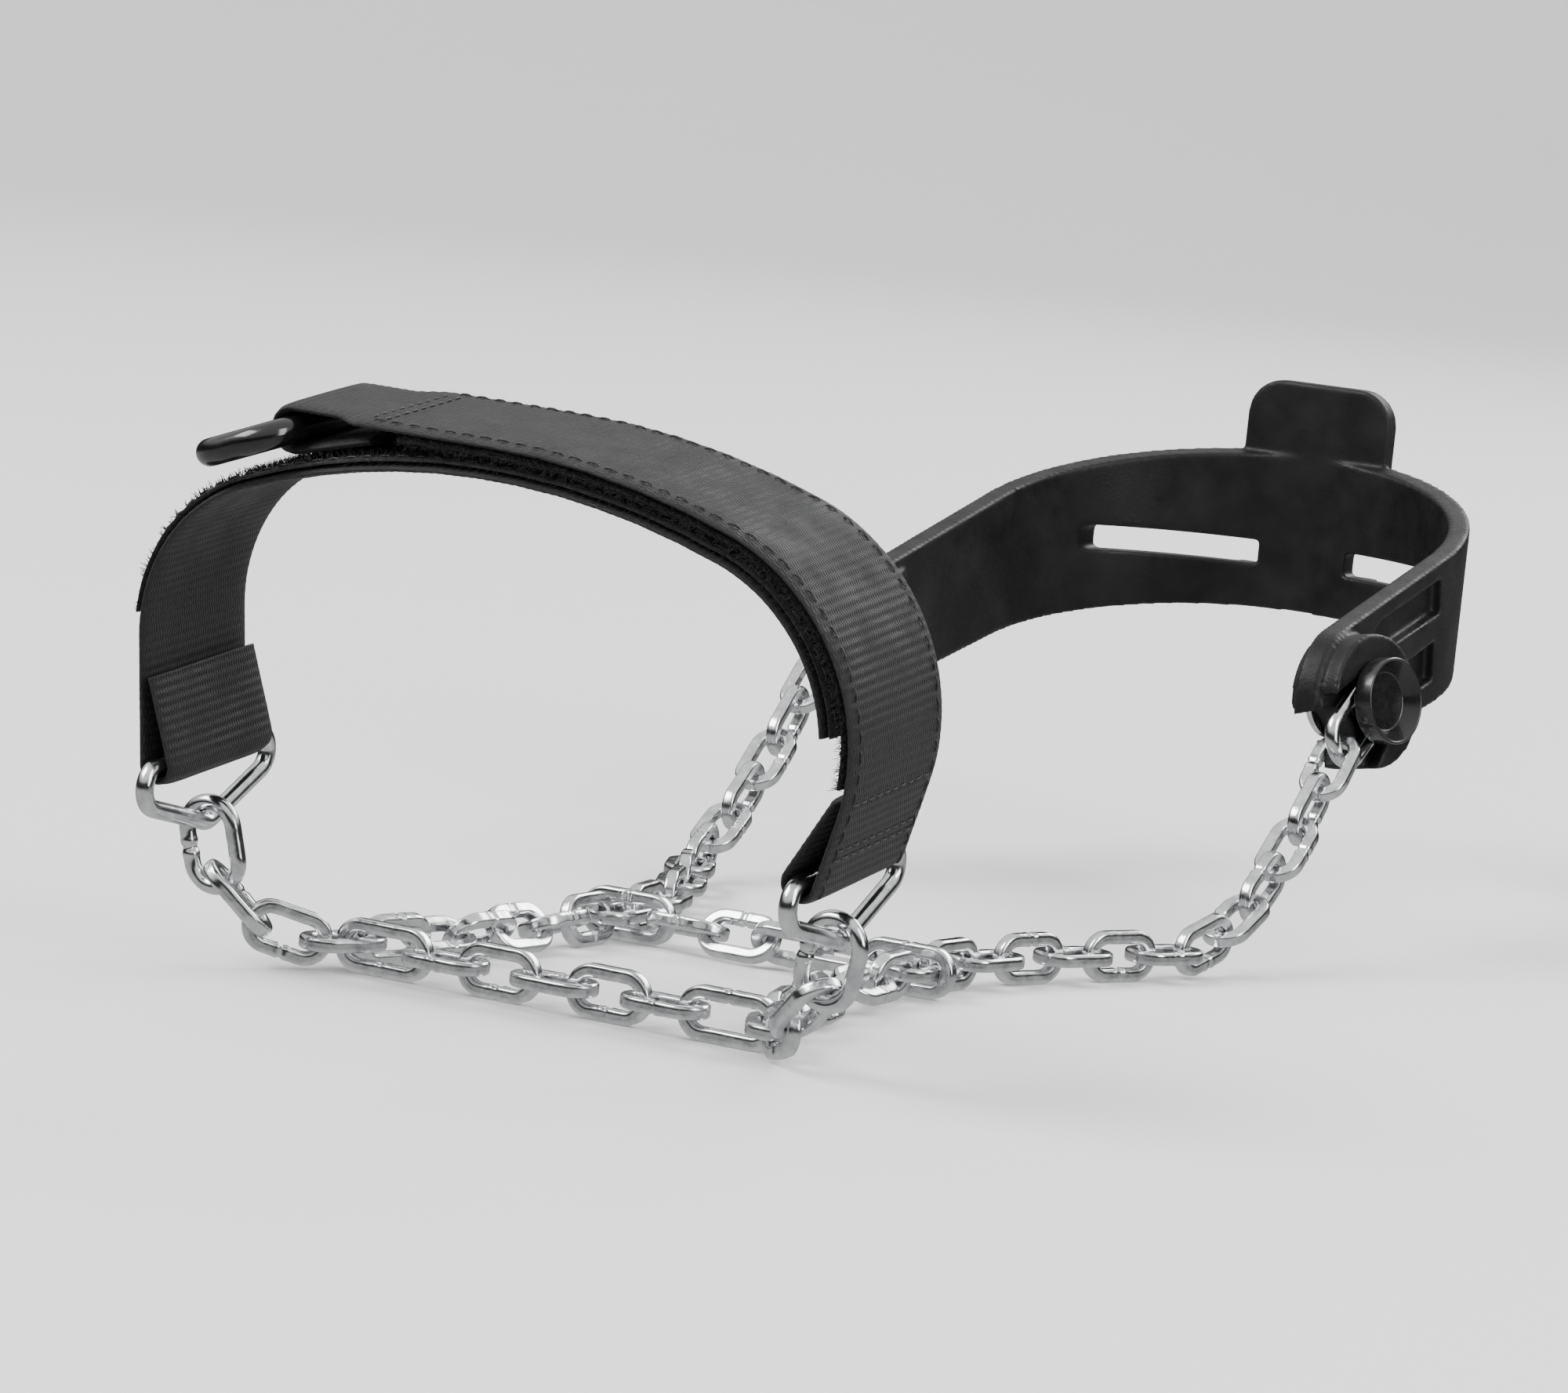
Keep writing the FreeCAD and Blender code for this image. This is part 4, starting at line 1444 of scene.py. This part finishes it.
@dataclass
class HeelSling:
    """The rubber band round the heel, with its bosses, ribs and pockets.

    Attributes:
        voxel: The size of the cells that the shape is rebuilt from.
        softening: How many times it is smoothed.
        pocket_floor: How far the pockets' floors are from the middle of the foot.
        pocket_reach: How far out from its floor a pocket is cut.
        upper_pocket: The upper pocket's outline, fore and aft and up.
        lower_pocket: The lower pocket's outline.
        node: The node that the sling stands for.
    """

    voxel: float = 0.36
    softening: int = 8
    pocket_floor: float = 39.6
    pocket_reach: float = 20.0
    upper_pocket: tuple[tuple[float, float], ...] = (
        (72.0, 48.6), (74.5, 50.6), (98.0, 56.4), (99.0, 50.8), (80.0, 46.4),
    )
    lower_pocket: tuple[tuple[float, float], ...] = (
        (73.5, 35.4), (75.5, 40.2), (98.0, 46.2), (99.0, 40.0), (80.0, 35.4),
    )
    node: str = "heel_sling"

    def pocket(self, corners: Sequence[tuple[float, float]], side: int) -> bpy.types.Object:
        """A block that is the shape of one pocket and reaches out past the sling.

        Args:
            corners: The pocket's outline, fore and aft and up.
            side: 1 for the outer side of the foot, or -1.

        Returns:
            The block.
        """
        walls = (self.pocket_floor, self.pocket_floor + self.pocket_reach)
        rings = np.array([[(wall * side, y, z) for y, z in corners] for wall in walls])
        block = new_object("pocket", skin(rings, False))
        bpy.context.scene.collection.objects.link(block)
        return block

    def build(self) -> Iterator[bpy.types.Object]:
        """Make the sling."""
        source = frame["nodes"][self.node]
        thing = bpy.data.objects.new("heel_sling_rubber", source.data.copy())
        bpy.context.scene.collection.objects.link(thing)
        welded = welded_mesh(thing.data)
        welded.to_mesh(thing.data)
        welded.free()
        outlines = (self.upper_pocket, self.lower_pocket)
        blocks = [self.pocket(corners, side) for corners in outlines for side in (1, -1)]
        for block in blocks:
            cut = thing.modifiers.new("pocket", "BOOLEAN")
            cut.operation, cut.solver, cut.object = "DIFFERENCE", "EXACT", block
        remesh = thing.modifiers.new("voxels", "REMESH")
        remesh.mode, remesh.voxel_size = "VOXEL", self.voxel * MM
        smooth = thing.modifiers.new("soften", "SMOOTH")
        smooth.iterations, smooth.factor = self.softening, 0.5
        bpy.context.view_layer.update()
        graph = bpy.context.evaluated_depsgraph_get()
        done = bpy.data.meshes.new_from_object(thing.evaluated_get(graph))
        thing.modifiers.clear()
        for block in blocks:
            bpy.data.objects.remove(block)
        thing.data = done
        shade_smooth(done)
        sling = Piece(thing.name, Finish.RUBBER, "sling_rubber", source["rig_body"], [self.node])
        yield sling.place(thing)


@dataclass
class Rivets:
    """The two rivets that hold the heel links to the sling.

    Attributes:
        lip: The radius of the head's thin lip.
        edge: The radius of its seat's edge and of the corner round its floor.
        floor: The height of the dish's floor over the seat.
        floor_share: The floor's radius, as a share of the head's.
        hub: The radius of the small flat in the very middle.
        around: How many facets the head has.
    """

    lip: float = 0.28
    edge: float = 0.4
    floor: float = 1.0
    floor_share: float = 0.7
    hub: float = 0.05
    around: int = 96

    def head_profile(self, radius: float, thick: float) -> Array:
        """The outline of a dished head with a flat floor and a thin lip.

        Args:
            radius: The radius of the head.
            thick: The height of its lip over its seat.

        Returns:
            The outline's points, out from the axis and up from the seat.
        """
        lip, edge, foot = self.lip, self.edge, radius * self.floor_share
        corners = [
            (radius - edge, edge, edge, -90.0, 0.0),
            (radius - lip, thick - lip, lip, 0.0, 160.0),
            (foot - edge, self.floor + edge, -edge, 160.0, 90.0),
        ]
        points = [(self.hub, 0.0), (radius - 2 * edge, 0.0)]
        for out, up, size, first, last in corners:
            for way in np.radians(np.linspace(first, last, 9)):
                points.append((out + size * math.cos(way), up + size * math.sin(way)))
        points += [(foot - 2 * edge, self.floor), (self.hub, self.floor)]
        return np.array(points)

    def head(self, side: str) -> bpy.types.Object:
        """Make one head, turned about its post's axis.

        Args:
            side: "lateral" or "medial".

        Returns:
            The head.
        """
        node = f"rivet_head_{side}"
        post = Lie.of(*islands(f"rivet_post_{side}")[0])
        points = islands(node)[0][0]
        axis = post.axes[0] * np.sign((points.mean(0) - post.middle) @ post.axes[0])
        reach = (points - post.middle) @ axis
        across = np.cross(axis, [0, 0, 1.0])
        across /= np.linalg.norm(across)
        radius = np.abs((points - post.middle) @ across).max()
        profile = self.head_profile(radius, np.ptp(reach))
        spokes = round_section(1.0, self.around) @ np.stack([across, np.cross(axis, across)])
        seat = post.middle + axis * reach.min()
        rings = seat + spokes[None] * profile[:, None, :1] + axis * profile[:, None, 1:]
        body = frame["nodes"][node]["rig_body"]
        piece = Piece(f"{node}_dished", Finish.RIVET, "rivet_black", body, [node])
        return piece.build(skin(rings, False))

    def dress(self, name: str) -> bpy.types.Object:
        """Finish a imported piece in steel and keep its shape.

        Args:
            name: The piece's node.

        Returns:
            The same object.
        """
        thing, steel = frame["nodes"][name], Finish.STEEL.material
        if not thing.material_slots:
            thing.data.materials.append(steel)
        for slot in thing.material_slots:
            slot.material = steel
        LOG.info("%s keeps its shape", name)
        return thing

    def build(self) -> Iterator[bpy.types.Object]:
        """Make the heads, and dress the posts and washers."""
        for side in ("lateral", "medial"):
            yield self.head(side)
            yield from (self.dress(f"{part}_{side}") for part in ("rivet_post", "rivet_washer"))


# ---------------------------------------------------------------- studio


@dataclass
class Studio:
    """The floor, the lights and the camera. Its sizes are in metres, but for the aim and lens.

    Attributes:
        azimuth: Where the camera stands, as an angle from straight ahead of the toe.
        elevation: How high it stands, as an angle.
        roll: How far it is turned about its own line.
        distance: How far it is from the aim.
        aim: Where it and the lamps look, in millimetres.
        lens: Its focal length in millimetres.
        sensor: The width of its sensor in millimetres.
        floor_reach: The radius of the flat floor.
        floor_drop: How far the floor is under the ground plane.
        cove: The radius of the bend from floor to wall.
        wall: The height of the wall.
        around: How many facets the floor has round it.
        sky_stops: The sky's greys, by height from straight down to straight up.
    """

    azimuth: float = 28.0
    elevation: float = 7.0
    roll: float = -5.8
    distance: float = 0.9
    aim: tuple[float, float, float] = (-18.0, -10.0, 35.0)
    lens: float = 138.0
    sensor: float = 36.0
    floor_reach: float = 2.0
    floor_drop: float = 0.00005
    cove: float = 1.2
    wall: float = 1.0
    around: int = 96
    sky_stops: tuple[tuple[float, float], ...] = (
        (0.0, 0.62), (0.40, 0.50), (0.47, 0.03), (0.60, 0.05), (0.70, 0.85), (1.0, 1.15),
    )

    def floor(self) -> None:
        """Lay a plain pale floor that curves up into a pale wall all round."""
        profile = [(0.001, 0.0), (self.floor_reach * 0.5, 0.0)]
        for way in np.radians(np.linspace(0, 90, 13)):
            out, up = self.cove * math.sin(way), self.cove * (1 - math.cos(way))
            profile.append((self.floor_reach + out, up))
        profile.append((self.floor_reach + self.cove, self.cove + self.wall))
        turns = np.arange(self.around) * 2 * math.pi / self.around
        rings = np.array([
            [(r * math.cos(t), r * math.sin(t), z - self.floor_drop) for t in turns]
            for r, z in profile
        ])
        points, faces = skin(rings, False)
        mesh = bpy.data.meshes.new("studio_floor")
        mesh.from_pydata(points.tolist(), [], faces[:-1])
        shade_smooth(mesh)
        desk = ShaderDesk("studio_floor")
        desk.colour(desk.blend(desk.grain(400), (0.86, 0.86, 0.86), (0.88, 0.88, 0.88)))
        desk.fix(Roughness=0.6, Specular_IOR_Level=0.2)
        mesh.materials.append(desk.material)
        thing = bpy.data.objects.new("studio_floor", mesh)
        thing.visible_glossy = False
        bpy.context.scene.collection.objects.link(thing)

    def lamp(
        self, name: str, spot: tuple[float, float, float], size: tuple[float, float], power: float,
    ) -> None:
        """Hang one soft lamp that faces the cleat.

        Args:
            name: The lamp's name.
            spot: Where it hangs.
            size: Its two sides.
            power: Its power in watts.
        """
        data = bpy.data.lights.new(name, "AREA")
        data.shape = "RECTANGLE"
        data.size, data.size_y = size
        data.energy = power
        thing = bpy.data.objects.new(name, data)
        thing.location = spot
        aim = Vector(self.aim) * MM - Vector(spot)
        thing.rotation_euler = aim.to_track_quat("-Z", "Y").to_euler()
        bpy.context.scene.collection.objects.link(thing)

    def sky(self) -> None:
        """Fill the world with a soft grey that is lighter above and dark at the horizon."""
        world = bpy.data.worlds.new("studio_sky")
        bpy.context.scene.world = world
        world.use_nodes = True
        nodes, links = world.node_tree.nodes, world.node_tree.links
        split = nodes.new("ShaderNodeSeparateXYZ")
        links.new(nodes.new("ShaderNodeTexCoord").outputs["Generated"], split.inputs[0])
        ramp = nodes.new("ShaderNodeValToRGB")
        while len(ramp.color_ramp.elements) < len(self.sky_stops):
            ramp.color_ramp.elements.new(0.5)
        for element, (at, grey) in zip(ramp.color_ramp.elements, self.sky_stops):
            element.position = at
            element.color = (grey, grey, grey, 1)
        reach = nodes.new("ShaderNodeMapRange")
        reach.inputs["From Min"].default_value = -1
        links.new(split.outputs["Z"], reach.inputs["Value"])
        links.new(reach.outputs["Result"], ramp.inputs["Fac"])
        links.new(ramp.outputs["Color"], nodes["Background"].inputs["Color"])
        nodes["Background"].inputs["Strength"].default_value = 1.0

    def camera(self) -> None:
        """Stand the camera at its angle, with its roll."""
        data = bpy.data.cameras.new("camera")
        data.lens, data.sensor_width = self.lens, self.sensor
        data.clip_start = 0.01
        thing = bpy.data.objects.new("camera", data)
        turn, rise = math.radians(self.azimuth), math.radians(self.elevation)
        flat = math.cos(rise)
        away = Vector((math.sin(turn) * flat, -math.cos(turn) * flat, math.sin(rise)))
        place = Matrix.Translation(Vector(self.aim) * MM + away * self.distance)
        look = (-away).to_track_quat("-Z", "Y").to_matrix().to_4x4()
        thing.matrix_world = place @ look @ Matrix.Rotation(math.radians(-self.roll), 4, "Z")
        bpy.context.scene.collection.objects.link(thing)
        bpy.context.scene.camera = thing

    def build(self) -> None:
        """Set up the whole studio."""
        self.floor()
        self.sky()
        self.lamp("key_light", (-0.9, -0.9, 1.3), (1.2, 0.8), 34)
        self.lamp("side_light", (1.4, -0.3, 0.7), (0.5, 1.2), 16)
        self.lamp("back_light", (0.3, 1.4, 1.0), (1.4, 0.5), 20)
        self.camera()


def main() -> None:
    """Build the cleat and its studio."""
    logging.basicConfig(level=logging.INFO, format="%(name)s: %(message)s")
    noise.seed_set(NOISE_SEED)
    arch = ToeArch()
    assemblies = (
        ChainLadder(LinkMaker()), ToeStrap(arch), TriangleRings(arch), FingerRing(),
        HeelSling(), Rivets(),
    )
    count = sum(1 for assembly in assemblies for _ in assembly.build())
    LOG.info("%d pieces", count)
    Studio().build()


if __name__ == "__main__":
    main()
